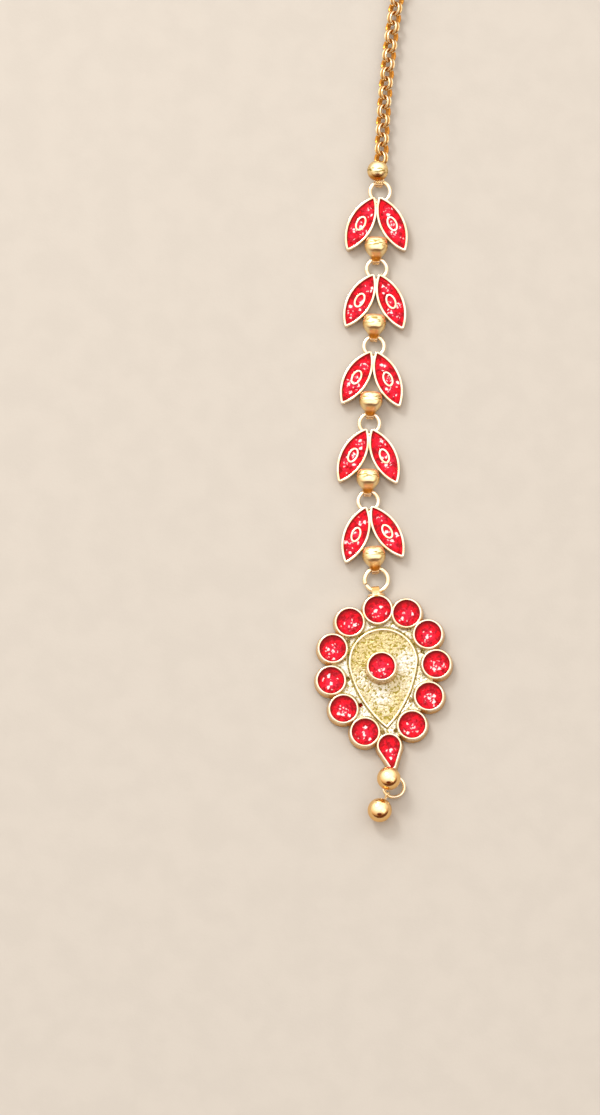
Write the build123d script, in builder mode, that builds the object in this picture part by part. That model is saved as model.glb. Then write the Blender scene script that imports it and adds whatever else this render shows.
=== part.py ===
from build123d import *
import os
from math import cos, radians, sin, sqrt

# Maang tikka: a head ornament of gold-plated castings, soldered wire and red enamel.
# It lies face up. +Y runs towards the hair hook, +Z is the face, and the backs lie on z = 0.
# All sizes are in millimetres. Turns are in degrees, counter-clockwise seen from +Z.

# Clearance between an enamel filling and the wall round it
ENAMEL_GAP = 0.04

# Straps folded round a ring, on every casting
STRAP_WIDTH = 1.4
STRAP_METAL = 0.3
STRAP_HEIGHT = 1.6
STRAP_ROUNDING = 0.45      # radius of the fold's outside, as a share of the strap's height

# Rings of the leaf links
RING_RADIUS = 1.9          # to the middle of the wire
RING_WIRE = 0.35           # radius of the wire
RING_HEIGHT = 0.8          # height of the middle of the wire

# Leaf link: ring, two leaf cups, ball and strap in one casting. Its apex is its own origin.
LEAF_ANGLE = 25.7          # between a leaf and the axis of the link
LEAF_START = (0.7, -0.25)  # upper point of the pocket of the right leaf
POCKET_LENGTH = 10.5
POCKET_BULGE = 1.95        # from the line between the pocket's points to its side
LEAF_RIM = 0.47
LEAF_HEIGHT = 1.8
LEAF_FLOOR = 0.9           # height of the bottom of a leaf's pocket
LEAF_ENAMEL_TOP = 1.62
OVAL_LENGTH = 2.95
OVAL_WIDTH = 1.8
OVAL_WALL = 0.3
OVAL_TOP = 1.72
SOLDER_HEIGHT = 1.3        # height of the solder between its parts
SOLDER_SPOT = {"drop": 0.85, "radius": 0.6}
SOLDER_BAR = {"drop": 8.1, "width": 4.8, "depth": 0.6}
RING_RISE = 1.3            # from the apex up to the ring's centre
BALL_DROP = 9.45           # from the apex down to the ball's centre
BALL_RADIUS = 2.2
BALL_FLAT = 1.65           # from the ball's centre to its flat top
SEAT_DROP = 11.7           # from the apex down to the wire that hangs in the strap
STRAP_START = 10.2         # from the apex down to the strap's end under the ball
STRAP_END = 12.8           # from the apex down to the outside of the fold
LINK_NECK = [
    {"drop": 11.0, "height": 2.35, "half_width": 0.95, "half_depth": 0.88},
    {"drop": 12.3, "height": 1.44, "half_width": 0.62, "half_depth": 0.15},
]

# Leaf links from the top down: how far each is turned, how far to the right its ring
# was soldered, and where the strap above holds the ring, turned from the ring's top
LINKS = [
    {"turn": -0.5, "ring": 0.6, "hang": 5.0},
    {"turn": -2.2, "ring": 0.0, "hang": 3.8},
    {"turn": -3.0, "ring": 0.0, "hang": 1.5},
    {"turn": -1.2, "ring": 0.0, "hang": -4.2},
    {"turn": 6.0, "ring": 0.0, "hang": 3.0},
]

# Top connector: a ball with a strap below it and a chain loop above it
CONNECTOR_RADIUS = 2.0
CONNECTOR_HEIGHT = 2.5     # height of the ball's centre
CONNECTOR_SEAT = 1.8       # from the ball's centre down to the wire in its strap
CONNECTOR_LOOP = 2.66      # from the ball's centre up to the loop's centre
CONNECTOR_STRAP = 0.7      # from the ball's centre down to the strap's end under it
CONNECTOR_TURN = -5.0
CONNECTOR_NECK = [
    {"drop": 1.4, "height": 2.4, "half_width": 0.95, "half_depth": 0.75},
    {"drop": 2.4, "height": 1.44, "half_width": 0.62, "half_depth": 0.15},
]

# Chain of round links, each leaning to the other side than the one before it
LINK_INNER = 1.05
LINK_OUTER = 1.47
LINK_WIDTH = 1.0
LINK_INNER_WIDTH = 0.75
LINK_RIDGE_WIDTH = 0.65    # between the crests of the two ridges round its outside
LINK_BEVEL = 0.16          # how far the sides slope in beyond the ridges
LINK_GROOVE = 0.12         # depth of the groove between the ridges
LINK_LEAN = 45.0
LINK_PITCH = 1.815
LINK_COUNT = 18
CHAIN_HEIGHT = 1.42
CHAIN_HEADING = 1.6        # degrees to the right of +Y, where the chain begins
CHAIN_BEND = 240.0         # radius of the chain's gentle bend to the right

# Hair hook, a plain wire hook past the last link
HOOK_WIRE = 0.38           # radius of the wire
HOOK_EYE = 1.4             # radius of the eye, to the middle of the wire
HOOK_SHANK = 7.0
HOOK_BEND = 1.9
HOOK_RETURN = 3.5
HOOK_SLOPE = 4.0           # the hook slopes down to the surface from its eye

# Jump ring between the last leaf link and the pendant
JUMP_RADIUS = 2.1
JUMP_WIRE = 0.4
JUMP_SEAT = 11.78          # from the last link's apex down to the wire in its strap
JUMP_LEAN = -4.0           # where the ring stands above the bail
JUMP_HANG = 7.0            # where the last link's strap holds it
JUMP_SPLIT = 204.0         # where the ring was closed
JUMP_GAP = 3.0             # degrees between the ends of its wire

# Pendant, measured from the centre of its top cell. Each row is a pair of round cells:
# how far the right one and the left one lie to the side of the top cell and below it.
# They were set by hand, so the two sides differ a little.
PENDANT_TURN = 6.0
CELL_PAIRS = [
    {"right": (5.35, 1.25), "left": (5.5, 1.85)},
    {"right": (8.95, 5.65), "left": (9.2, 6.55)},
    {"right": (9.95, 11.5), "left": (10.15, 12.6)},
    {"right": (7.95, 17.45), "left": (8.35, 18.25)},
    {"right": (4.2, 22.6), "left": (4.75, 23.05)},
]
CELL_POCKET = 2.5          # radius of the enamel in a round cell
CELL_RIM = 0.4
CELL_HEIGHT = 2.0
CELL_FLOOR = 1.0
CELL_ENAMEL_EDGE = 1.62
CELL_ENAMEL_TOP = 1.8
PLATE_FLARE = 0.3          # how far the plate stands out round the cells
PLATE_HEIGHT = 0.8
BOSS_CENTRE = (-0.4, -11.1)
BOSS_POCKET = 2.45
BOSS_HEIGHT = 3.4
BOSS_FLOOR = 2.3
BOSS_ENAMEL_EDGE = 3.0
BOSS_ENAMEL_TOP = 3.2
DROP_CENTRE = (-0.45, -26.1)    # centre of the round end of the drop cell
DROP_TIP = (-0.25, -30.0)       # centre of its small end
DROP_POCKET = 2.0
DROP_TIP_RADIUS = 0.35
FIELD_TOP = 3.75           # top of the sunk teardrop field
FIELD_WAIST = 10.4         # where the field is widest
FIELD_HALF_WIDTH = 6.3
FIELD_TIP = (-0.5, -22.4)
FIELD_BULGE = 1.1          # how far its lower sides bow out
SURROUND_HEIGHT = 1.2      # height of the smooth metal between the field and the cells
FIELD_HEIGHT = 0.9
BORDER_WALL = 0.3
BORDER_HEIGHT = 1.4
PIT_RADIUS = 0.32
PITS = [
    {"across": -6.1, "drop": 5.45},
    {"across": -6.9, "drop": 12.6},
    {"across": -5.05, "drop": 17.8},
    {"across": 4.5, "drop": 17.9},
    {"across": 7.6, "drop": 8.7},
    {"across": 1.05, "drop": 23.3},
    {"across": -1.4, "drop": 23.4},
]
BAIL_TOP = 4.95            # from the top cell's centre up to the outside of the bail
BAIL_SEAT = 3.78           # from the top cell's centre up to the wire in the bail
TIP_EYE_END = 33.0         # from the top cell's centre down to the outside of the tip's eye
TIP_SEAT = 31.98
TIP_RING_TURN = -8.0       # the tip ring has swung to the left
TIP_EYE = {"width": 1.0, "height": 1.4, "metal": 0.3}

# Ring and ball drops below the pendant's tip
TIP_RING_RADIUS = 1.93
TIP_RING_WIRE = 0.3
TIP_RING_HEIGHT = 0.7
DROP_LOOP_WIRE = 0.15
UPPER_BALL_RADIUS = 2.23
UPPER_BALL = (-0.93, 0.84, 3.74)    # centre, from the tip ring's centre and the surface
UPPER_LOOP_ANGLE = 150.0            # where its loop holds the tip ring
UPPER_LOOP_RADIUS = 0.75
UPPER_LOOP_HEIGHT = 0.9
LOWER_BALL_RADIUS = 2.3
LOWER_BALL_DISTANCE = 5.42          # from the tip ring's centre to the ball's
LOWER_BALL_ANGLE = 240.6
LOWER_LOOP_RADIUS = 0.6
LOWER_LOOP_HEIGHT = 0.75
BALL_CAP_RADIUS = 0.65
BALL_CAP_REACH = 0.15               # how far the cap stands out of the ball
BALL_STEM_RADIUS = 0.2

TOP_CELL = (-1.16, -44.915)  # where the top cell's centre lies


def turned(across, along, turn):
    """Turn a vector counter-clockwise in the plane of the surface."""
    angle = radians(turn)
    return Vector(
        across * cos(angle) - along * sin(angle),
        across * sin(angle) + along * cos(angle),
        0,
    )


def flat_plane(spot, turn, height=0.0):
    """A level plane at a spot, turned counter-clockwise."""
    return Plane(
        origin=(spot.X, spot.Y, height),
        x_dir=tuple(turned(1, 0, turn)),
        z_dir=(0, 0, 1),
    )


def strap_seat(apex, row):
    """Where the strap above a leaf link holds the link's ring."""
    ring_centre = apex + turned(row["ring"], RING_RISE, row["turn"])
    return ring_centre + turned(0, RING_RADIUS, row["hang"])


# Positions, worked out upwards from the pendant's top cell
top_cell = Vector(*TOP_CELL)
pendant_plane = flat_plane(top_cell, PENDANT_TURN)
jump_bottom = top_cell + turned(0, BAIL_SEAT, PENDANT_TURN)
jump_centre = jump_bottom + turned(0, JUMP_RADIUS, JUMP_LEAN)
jump_top = jump_centre + turned(0, JUMP_RADIUS, JUMP_HANG)

link_apexes = [jump_top + turned(0, JUMP_SEAT, LINKS[-1]["turn"])]
for upper, lower in zip(reversed(LINKS[:-1]), reversed(LINKS[1:])):
    seat = strap_seat(link_apexes[0], lower)
    link_apexes.insert(0, seat + turned(0, SEAT_DROP, upper["turn"]))

connector_seat = strap_seat(link_apexes[0], LINKS[0])
connector_centre = connector_seat + turned(0, CONNECTOR_SEAT, CONNECTOR_TURN)
chain_start = connector_centre + turned(0, CONNECTOR_LOOP, CONNECTOR_TURN)

tip_ring_top = top_cell + turned(DROP_TIP[0], -TIP_SEAT, PENDANT_TURN)
tip_ring_centre = tip_ring_top + turned(0, -TIP_RING_RADIUS, TIP_RING_TURN)


def tilted(plane, about_x, about_y):
    """A plane turned about its own X axis and then about its own Y axis."""
    return Plane(plane.location * Rotation(about_x, about_y, 0))


def chain_plane(number, lean):
    """The plane of a link, a number of pitches along the chain's arc from its loop."""
    start = radians(CHAIN_HEADING)
    heading = start + number * LINK_PITCH / CHAIN_BEND
    level = Plane(
        origin=(
            chain_start.X + CHAIN_BEND * (cos(start) - cos(heading)),
            chain_start.Y + CHAIN_BEND * (sin(heading) - sin(start)),
            CHAIN_HEIGHT,
        ),
        x_dir=(cos(heading), -sin(heading), 0),
        z_dir=(0, 0, 1),
    )
    return tilted(level, 0, lean)


def link_lean(number):
    """Even links lean to the left and odd ones to the right."""
    return LINK_LEAN if number % 2 else -LINK_LEAN


def strap(near, far, width, height, metal, across=0.0):
    """A folded strap seen from the side: a flat loop along Y, as wide as given."""
    with BuildPart() as loop:
        with BuildSketch(Plane.YZ.offset(across - width / 2)):
            with Locations(((near + far) / 2, height / 2)):
                Rectangle(abs(far - near), height)
                Rectangle(
                    abs(far - near) - 2 * metal,
                    height - 2 * metal,
                    mode=Mode.SUBTRACT,
                )
        extrude(amount=width)
        corners = loop.edges().filter_by(Axis.X).group_by(Axis.Y)
        far_corners = corners[0] if far < near else corners[-1]
        fillet(far_corners, height * STRAP_ROUNDING)
    return loop.part


def neck(sections):
    """The taper from a ball to the front of its strap, an ellipse for each row."""
    with BuildPart() as taper:
        for row in sections:
            centre = (0, -row["drop"], row["height"])
            with BuildSketch(Plane(origin=centre, x_dir=(1, 0, 0), z_dir=(0, -1, 0))):
                Ellipse(row["half_width"], row["half_depth"])
        loft()
    return taper.part


def lens(radius, base, edge, top):
    """A round enamel filling with a flat base and a domed face."""
    with BuildPart() as filling:
        with BuildSketch(Plane.XZ):
            with BuildLine():
                Polyline((0, base), (radius, base), (radius, edge))
                dome = (radius**2 + (top - edge) ** 2) / (2 * (top - edge))
                across = radius / 2
                fall = dome - sqrt(dome**2 - across**2)
                ThreePointArc((radius, edge), (across, top - fall), (0, top))
                Line((0, top), (0, base))
            make_face()
        revolve(axis=Axis.Z)
    return filling.part


def write(piece, name):
    """Label a piece with its node's name and write its STEP file."""
    piece.label = name
    export_step(piece, f"parts/{name}.step")


os.makedirs("parts", exist_ok=True)

# Leaf link casting, about its apex, hanging along -Y
leaf_angle = radians(LEAF_ANGLE)
leaf_middle = (
    LEAF_START[0] + POCKET_LENGTH / 2 * sin(leaf_angle),
    LEAF_START[1] - POCKET_LENGTH / 2 * cos(leaf_angle),
)

with BuildSketch() as pocket_outline:
    with BuildLine():
        ThreePointArc(
            (0, POCKET_LENGTH / 2), (POCKET_BULGE, 0), (0, -POCKET_LENGTH / 2)
        )
        ThreePointArc(
            (0, -POCKET_LENGTH / 2), (-POCKET_BULGE, 0), (0, POCKET_LENGTH / 2)
        )
    make_face()

with BuildSketch() as leaf_outline:
    add(pocket_outline.sketch)
    offset(amount=LEAF_RIM, kind=Kind.ARC)

leaf_spots = [
    Location((leaf_middle[0], leaf_middle[1], 0), (0, 0, LEAF_ANGLE)),
    Location((-leaf_middle[0], leaf_middle[1], 0), (0, 0, -LEAF_ANGLE)),
]

with BuildPart() as leaf_casting:
    with BuildSketch():
        with Locations(*leaf_spots):
            add(leaf_outline.sketch)
    extrude(amount=LEAF_HEIGHT)
    # solder between the leaves and across the back of the ball
    with BuildSketch():
        with Locations((0, -SOLDER_SPOT["drop"])):
            Circle(SOLDER_SPOT["radius"])
        with Locations((0, -SOLDER_BAR["drop"])):
            Rectangle(SOLDER_BAR["width"], SOLDER_BAR["depth"])
    extrude(amount=SOLDER_HEIGHT)
    # pockets, and the oval wall that stands in the middle of each
    with BuildSketch(Plane.XY.offset(LEAF_FLOOR)):
        with Locations(*leaf_spots):
            add(pocket_outline.sketch)
    extrude(amount=LEAF_HEIGHT, mode=Mode.SUBTRACT)
    with BuildSketch(Plane.XY.offset(LEAF_FLOOR)):
        with Locations(*leaf_spots):
            Ellipse(OVAL_WIDTH / 2, OVAL_LENGTH / 2)
            Ellipse(
                OVAL_WIDTH / 2 - OVAL_WALL,
                OVAL_LENGTH / 2 - OVAL_WALL,
                mode=Mode.SUBTRACT,
            )
    extrude(amount=OVAL_TOP - LEAF_FLOOR)
    add(neck(LINK_NECK))
    add(strap(-STRAP_START, -STRAP_END, STRAP_WIDTH, STRAP_HEIGHT, STRAP_METAL))

with BuildPart() as flat_topped_ball:
    with Locations((0, -BALL_DROP, BALL_RADIUS)):
        Sphere(BALL_RADIUS)
    split(bisect_by=Plane.XZ.offset(BALL_DROP - BALL_FLAT), keep=Keep.TOP)


def leaf_ring(across):
    """A leaf link's ring, cut away where the pockets of the leaf cups are open."""
    with BuildPart() as ring:
        with Locations((across, RING_RISE, RING_HEIGHT)):
            Torus(RING_RADIUS, RING_WIRE)
        with BuildSketch(Plane.XY.offset(LEAF_FLOOR)):
            with Locations(*leaf_spots):
                add(pocket_outline.sketch)
        extrude(amount=LEAF_HEIGHT, mode=Mode.SUBTRACT)
    return ring.part


# Enamel of a leaf: the body round the oval wall and the plug inside it
with BuildPart() as leaf_enamel:
    with BuildSketch(Plane.XY.offset(LEAF_FLOOR)):
        add(pocket_outline.sketch)
        offset(amount=-ENAMEL_GAP, kind=Kind.INTERSECTION)
    extrude(amount=LEAF_ENAMEL_TOP - LEAF_FLOOR)
    with BuildSketch(Plane.XY.offset(LEAF_FLOOR)):
        Ellipse(OVAL_WIDTH / 2 + ENAMEL_GAP, OVAL_LENGTH / 2 + ENAMEL_GAP)
        Ellipse(
            OVAL_WIDTH / 2 - OVAL_WALL - ENAMEL_GAP,
            OVAL_LENGTH / 2 - OVAL_WALL - ENAMEL_GAP,
            mode=Mode.SUBTRACT,
        )
    extrude(amount=LEAF_ENAMEL_TOP, mode=Mode.SUBTRACT)

for number, (apex, row) in enumerate(zip(link_apexes, LINKS), start=1):
    spot = Location(flat_plane(apex, row["turn"]))
    with BuildPart() as link:
        with Locations(spot):
            add(leaf_casting.part)
            add(flat_topped_ball.part)
            add(leaf_ring(row["ring"]))
    write(link.part, f"leaf_link_{number}")
    for side, leaf_spot in zip(("right", "left"), leaf_spots):
        with BuildPart() as enamel:
            with Locations(spot * leaf_spot):
                add(leaf_enamel.part)
        write(enamel.part, f"leaf_enamel_{number}_{side}")

# Chain link: a grooved band of one metal, about its own axis
with BuildPart() as chain_link:
    with BuildSketch(Plane.XZ):
        with BuildLine():
            Polyline(
                (LINK_INNER, -LINK_INNER_WIDTH / 2),
                (LINK_OUTER - LINK_BEVEL, -LINK_WIDTH / 2),
                (LINK_OUTER, -LINK_RIDGE_WIDTH / 2),
                (LINK_OUTER - LINK_GROOVE, 0),
                (LINK_OUTER, LINK_RIDGE_WIDTH / 2),
                (LINK_OUTER - LINK_BEVEL, LINK_WIDTH / 2),
                (LINK_INNER, LINK_INNER_WIDTH / 2),
                close=True,
            )
        make_face()
    revolve(axis=Axis.Z)

link_planes = [chain_plane(n, link_lean(n)) for n in range(1, LINK_COUNT + 1)]
with BuildPart() as chain:
    with Locations(*link_planes):
        add(chain_link.part)
write(chain.part, "chain")

# Top connector: its ball, the chain's first loop soldered to it, and its strap
connector_plane = flat_plane(connector_centre, CONNECTOR_TURN)
with BuildPart() as connector_body:
    with Locations((0, 0, CONNECTOR_HEIGHT)):
        Sphere(CONNECTOR_RADIUS)
    add(neck(CONNECTOR_NECK))
    strap_end = CONNECTOR_SEAT + STRAP_END - SEAT_DROP
    add(strap(-CONNECTOR_STRAP, -strap_end, STRAP_WIDTH, STRAP_HEIGHT, STRAP_METAL))

with BuildPart() as top_connector:
    with Locations(connector_plane):
        add(connector_body.part)
    with Locations(chain_plane(0, link_lean(0))):
        add(chain_link.part)
write(top_connector.part, "top_connector")

# Hair hook: an eye that holds the last link, a shank and a round bend
eye_plane = chain_plane(LINK_COUNT + 1, link_lean(LINK_COUNT + 1))
hook_plane = tilted(chain_plane(LINK_COUNT + 1, 0), -HOOK_SLOPE, 0)
shank_start = hook_plane.from_local_coords((0, HOOK_EYE, 0))
with BuildPart() as hair_hook:
    with Locations(eye_plane):
        Torus(HOOK_EYE, HOOK_WIRE)
    with BuildLine(hook_plane) as wire:
        Polyline((0, HOOK_EYE), (0, HOOK_SHANK))
        ThreePointArc(
            (0, HOOK_SHANK),
            (-HOOK_BEND, HOOK_SHANK + HOOK_BEND),
            (-2 * HOOK_BEND, HOOK_SHANK),
        )
        Line((-2 * HOOK_BEND, HOOK_SHANK), (-2 * HOOK_BEND, HOOK_SHANK - HOOK_RETURN))
    with BuildSketch(Plane(origin=shank_start, z_dir=hook_plane.y_dir)):
        Circle(HOOK_WIRE)
    sweep(path=wire.line)
write(hair_hook.part, "hair_hook")

# Jump ring, closed but for the cut between the ends of its wire
jump_plane = flat_plane(jump_centre, 0, RING_HEIGHT)
with BuildPart() as pendant_ring:
    cut_plane = flat_plane(jump_centre, JUMP_SPLIT + JUMP_GAP, RING_HEIGHT)
    with BuildSketch(tilted(cut_plane, 90, 0)):
        with Locations((JUMP_RADIUS, 0)):
            Circle(JUMP_WIRE)
    revolve(axis=Axis(jump_plane.origin, (0, 0, 1)), revolution_arc=360 - JUMP_GAP)
write(pendant_ring.part, "pendant_ring")

# Pendant casting, about its top cell
right_cells = [(across, -drop) for across, drop in (row["right"] for row in CELL_PAIRS)]
left_cells = [(-across, -drop) for across, drop in (row["left"] for row in CELL_PAIRS)]
round_cells = [(0, 0)] + right_cells + left_cells[::-1]
ring_of_cells = [(0, 0)] + right_cells + [DROP_CENTRE] + left_cells[::-1]


def drop_outline(extra):
    """The drop cell's outline, standing out from its enamel by the extra."""
    with BuildSketch() as outline:
        with Locations(DROP_CENTRE):
            Circle(DROP_POCKET + extra)
        with Locations(DROP_TIP):
            Circle(DROP_TIP_RADIUS + extra)
        make_hull()
    return outline.sketch


def bowed_middle(start, end):
    """The middle of a side of the field, bowed out to its right."""
    chord = end - start
    return (start + end) / 2 + Vector(-chord.Y, chord.X).normalized() * FIELD_BULGE


def field_outline(extra):
    """The sunk field's teardrop, standing out from its edge by the extra."""
    left = Vector(-FIELD_HALF_WIDTH, -FIELD_WAIST)
    right = Vector(FIELD_HALF_WIDTH, -FIELD_WAIST)
    tip = Vector(*FIELD_TIP)
    with BuildSketch() as outline:
        with BuildLine():
            ThreePointArc(left, (0, -FIELD_TOP), right)
            ThreePointArc(right, bowed_middle(right, tip), tip)
            ThreePointArc(tip, bowed_middle(tip, left), left)
        make_face()
        offset(amount=extra, kind=Kind.INTERSECTION)
    return outline.sketch


with BuildPart() as pendant_casting:
    with BuildSketch():
        Polygon(*ring_of_cells, align=None)
        with Locations(*round_cells):
            Circle(CELL_POCKET + CELL_RIM + PLATE_FLARE)
        add(drop_outline(CELL_RIM + PLATE_FLARE))
    extrude(amount=PLATE_HEIGHT)
    with BuildSketch():
        Polygon(*ring_of_cells, align=None)
    extrude(amount=SURROUND_HEIGHT)
    with BuildSketch():
        add(field_outline(BORDER_WALL / 2))
    extrude(amount=BORDER_HEIGHT)
    with BuildSketch(Plane.XY.offset(FIELD_HEIGHT)):
        add(field_outline(-BORDER_WALL / 2))
    extrude(amount=BOSS_HEIGHT, mode=Mode.SUBTRACT)
    with BuildSketch():
        with Locations(*round_cells):
            Circle(CELL_POCKET + CELL_RIM)
        add(drop_outline(CELL_RIM))
    extrude(amount=CELL_HEIGHT)
    with BuildSketch():
        with Locations(BOSS_CENTRE):
            Circle(BOSS_POCKET + CELL_RIM)
    extrude(amount=BOSS_HEIGHT)
    with BuildSketch(Plane.XY.offset(CELL_FLOOR)):
        with Locations(*round_cells):
            Circle(CELL_POCKET)
        add(drop_outline(0))
    extrude(amount=CELL_HEIGHT, mode=Mode.SUBTRACT)
    with BuildSketch(Plane.XY.offset(BOSS_FLOOR)):
        with Locations(BOSS_CENTRE):
            Circle(BOSS_POCKET)
    extrude(amount=BOSS_HEIGHT, mode=Mode.SUBTRACT)
    with Locations(*[(row["across"], -row["drop"], SURROUND_HEIGHT) for row in PITS]):
        Sphere(PIT_RADIUS, mode=Mode.SUBTRACT)
    bail_start = CELL_POCKET + CELL_RIM / 2
    add(strap(bail_start, BAIL_TOP, STRAP_WIDTH, STRAP_HEIGHT, STRAP_METAL))
    eye_start = DROP_TIP[1] - DROP_TIP_RADIUS - CELL_RIM / 2
    add(strap(eye_start, -TIP_EYE_END, **TIP_EYE, across=DROP_TIP[0]))

with BuildPart() as pendant_frame:
    with Locations(pendant_plane):
        add(pendant_casting.part)
write(pendant_frame.part, "pendant_frame")

# Enamel of the pendant
round_filling = lens(
    CELL_POCKET - ENAMEL_GAP, CELL_FLOOR, CELL_ENAMEL_EDGE, CELL_ENAMEL_TOP
)
for number, cell in enumerate(round_cells, start=1):
    with BuildPart() as enamel:
        with Locations(pendant_plane.location * Location((*cell, 0))):
            add(round_filling)
    write(enamel.part, f"cell_enamel_{number}")

with BuildPart() as drop_enamel:
    with BuildSketch(pendant_plane.offset(CELL_FLOOR)):
        add(drop_outline(-ENAMEL_GAP))
    extrude(amount=CELL_ENAMEL_EDGE - CELL_FLOOR)
write(drop_enamel.part, "drop_enamel")

boss_filling = lens(
    BOSS_POCKET - ENAMEL_GAP, BOSS_FLOOR, BOSS_ENAMEL_EDGE, BOSS_ENAMEL_TOP
)
with BuildPart() as boss_enamel:
    with Locations(pendant_plane.location * Location((*BOSS_CENTRE, 0))):
        add(boss_filling)
write(boss_enamel.part, "boss_enamel")

# Tip ring and the two ball drops that it holds
tip_plane = flat_plane(tip_ring_centre, 0)
with BuildPart() as tip_ring:
    with Locations(tip_plane.offset(TIP_RING_HEIGHT)):
        Torus(TIP_RING_RADIUS, TIP_RING_WIRE)
write(tip_ring.part, "tip_ring")


def upright_loop(angle, height):
    """A plane across the tip ring's wire, at an angle round the ring."""
    spot = tip_ring_centre + turned(TIP_RING_RADIUS, 0, angle)
    return tilted(flat_plane(spot, angle, height), 90, 0)


with BuildPart() as upper_ball:
    with Locations(tip_plane):
        with Locations(UPPER_BALL):
            Sphere(UPPER_BALL_RADIUS)
    with Locations(upright_loop(UPPER_LOOP_ANGLE, UPPER_LOOP_HEIGHT)):
        Torus(UPPER_LOOP_RADIUS, DROP_LOOP_WIRE)
write(upper_ball.part, "upper_ball")

lower_spot = tip_ring_centre + turned(LOWER_BALL_DISTANCE, 0, LOWER_BALL_ANGLE)
lower_centre = Vector(lower_spot.X, lower_spot.Y, LOWER_BALL_RADIUS)
lower_loop = upright_loop(LOWER_BALL_ANGLE, LOWER_LOOP_HEIGHT)
stem_plane = Plane(origin=lower_centre, z_dir=lower_loop.origin - lower_centre)
stem_end = (lower_loop.origin - lower_centre).length - LOWER_LOOP_RADIUS
with BuildPart() as lower_ball:
    with Locations(lower_centre):
        Sphere(LOWER_BALL_RADIUS)
    with BuildSketch(stem_plane):
        Circle(BALL_CAP_RADIUS)
    extrude(amount=LOWER_BALL_RADIUS + BALL_CAP_REACH)
    with BuildSketch(stem_plane):
        Circle(BALL_STEM_RADIUS)
    extrude(amount=stem_end)
    with Locations(lower_loop):
        Torus(LOWER_LOOP_RADIUS, DROP_LOOP_WIRE)
write(lower_ball.part, "lower_ball")
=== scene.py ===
import bmesh
import bpy
import numpy as np
from bpy.props import FloatProperty, FloatVectorProperty, PointerProperty
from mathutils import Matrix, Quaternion, Vector


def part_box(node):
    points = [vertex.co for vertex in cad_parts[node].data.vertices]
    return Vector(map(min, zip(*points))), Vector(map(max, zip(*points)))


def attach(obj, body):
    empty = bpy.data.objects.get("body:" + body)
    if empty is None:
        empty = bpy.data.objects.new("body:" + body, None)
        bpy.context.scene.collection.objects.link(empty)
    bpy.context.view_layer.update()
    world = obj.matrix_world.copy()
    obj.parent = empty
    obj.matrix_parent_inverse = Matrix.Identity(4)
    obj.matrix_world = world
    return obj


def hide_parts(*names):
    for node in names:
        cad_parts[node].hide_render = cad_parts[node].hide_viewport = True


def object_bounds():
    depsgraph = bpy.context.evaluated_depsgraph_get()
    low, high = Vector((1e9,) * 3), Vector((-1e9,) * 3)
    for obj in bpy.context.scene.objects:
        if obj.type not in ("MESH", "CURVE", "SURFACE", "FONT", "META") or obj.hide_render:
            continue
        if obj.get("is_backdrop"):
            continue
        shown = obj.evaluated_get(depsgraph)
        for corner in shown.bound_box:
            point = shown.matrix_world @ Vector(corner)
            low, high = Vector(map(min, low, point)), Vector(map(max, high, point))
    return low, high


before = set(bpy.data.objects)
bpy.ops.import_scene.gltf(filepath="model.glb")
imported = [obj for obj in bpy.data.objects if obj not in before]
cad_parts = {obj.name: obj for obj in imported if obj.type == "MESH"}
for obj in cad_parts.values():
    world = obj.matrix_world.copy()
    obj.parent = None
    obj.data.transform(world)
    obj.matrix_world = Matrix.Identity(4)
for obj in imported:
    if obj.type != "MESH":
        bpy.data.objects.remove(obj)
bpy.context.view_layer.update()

bl_info = {
    "name": "Maang tikka",
    "version": (1, 0, 0),
    "blender": (4, 5, 0),
    "location": "3D View > Sidebar > Tikka",
    "description": "Builds the looks of a gold-plated, red-enamelled maang tikka on its solids",
    "category": "Object",
}

MM = 0.001

# The layout of the part's source, in millimetres and degrees. The rings' wire, the top of
# the bail, the balls' loops and the bulbs are a little fuller than their solids.

# Each leaf link's turn, its ring's step to the side, and the lean of the seat it hangs from.
LINKS = [(-0.5, 0.6, 5.0), (-2.2, 0.0, 3.8), (-3.0, 0.0, 1.5), (-1.2, 0.0, -4.2), (6.0, 0.0, 3.0)]
RING_RADIUS = 1.9
RING_WIRE = 0.40
RING_HEIGHT = 0.8
RING_RISE = 1.3
SEAT_DROP = 11.7
STRAP = {"half_width": 0.7, "metal": 0.3, "height": 1.6}
STRAP_START = 10.2
STRAP_END = 12.8
LEAF_ANGLE = 25.7
LEAF_START = (0.7, -0.25)
LEAF_LENGTH = 10.5
LEAF_BULGE = 1.95
LEAF_RIM = 0.47
LEAF_HEIGHT = 1.8
LEAF_FLOOR = 0.9
OVAL_HALF = (0.9, 1.475)
OVAL_WALL = 0.3
OVAL_LAP = 0.05
OVAL_TOP = 1.72
# Dabs of solder on a leaf link: where along it, half across, half along, height and shade.
LINK_SOLDER = [
    (-0.85, 0.62, 0.7, 1.55, 0.0), (-3.0, 0.42, 0.75, 1.62, 0.0), (-8.0, 2.3, 0.4, 1.35, 0.9),
]
# Dabs of solder under the bail, in the same columns.
BAIL_SOLDER = [(3.05, 1.7, 0.5, 1.3, 0.55), (3.22, 0.8, 0.2, 1.85, 0.0)]

CONNECTOR = {"radius": 2.0, "height": 2.5, "seat": 1.8, "loop": 2.66, "turn": -5.0}
CHAIN_LINK = {"inner": 0.97, "outer": 1.47, "half_width": 0.61, "half_inner_width": 0.425}
CHAIN_RIDGE = 0.42
CHAIN_GROOVE = 0.16
CHAIN_LEAN = 45.0
CHAIN_PITCH = 1.815
CHAIN_COUNT = 18
CHAIN_HEIGHT = 1.42
CHAIN_HEADING = 1.6
CHAIN_BEND = 240.0
HOOK = {"wire": 0.38, "eye": 1.4, "shank": 7.0, "bend": 1.9, "return": 3.5, "slope": 4.0}

JUMP = {
    "radius": 2.1, "wire": 0.43, "seat": 11.78, "lean": -4.0, "hang": 7.0, "split": 204.0,
    "gap": 3.0,
}
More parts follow.
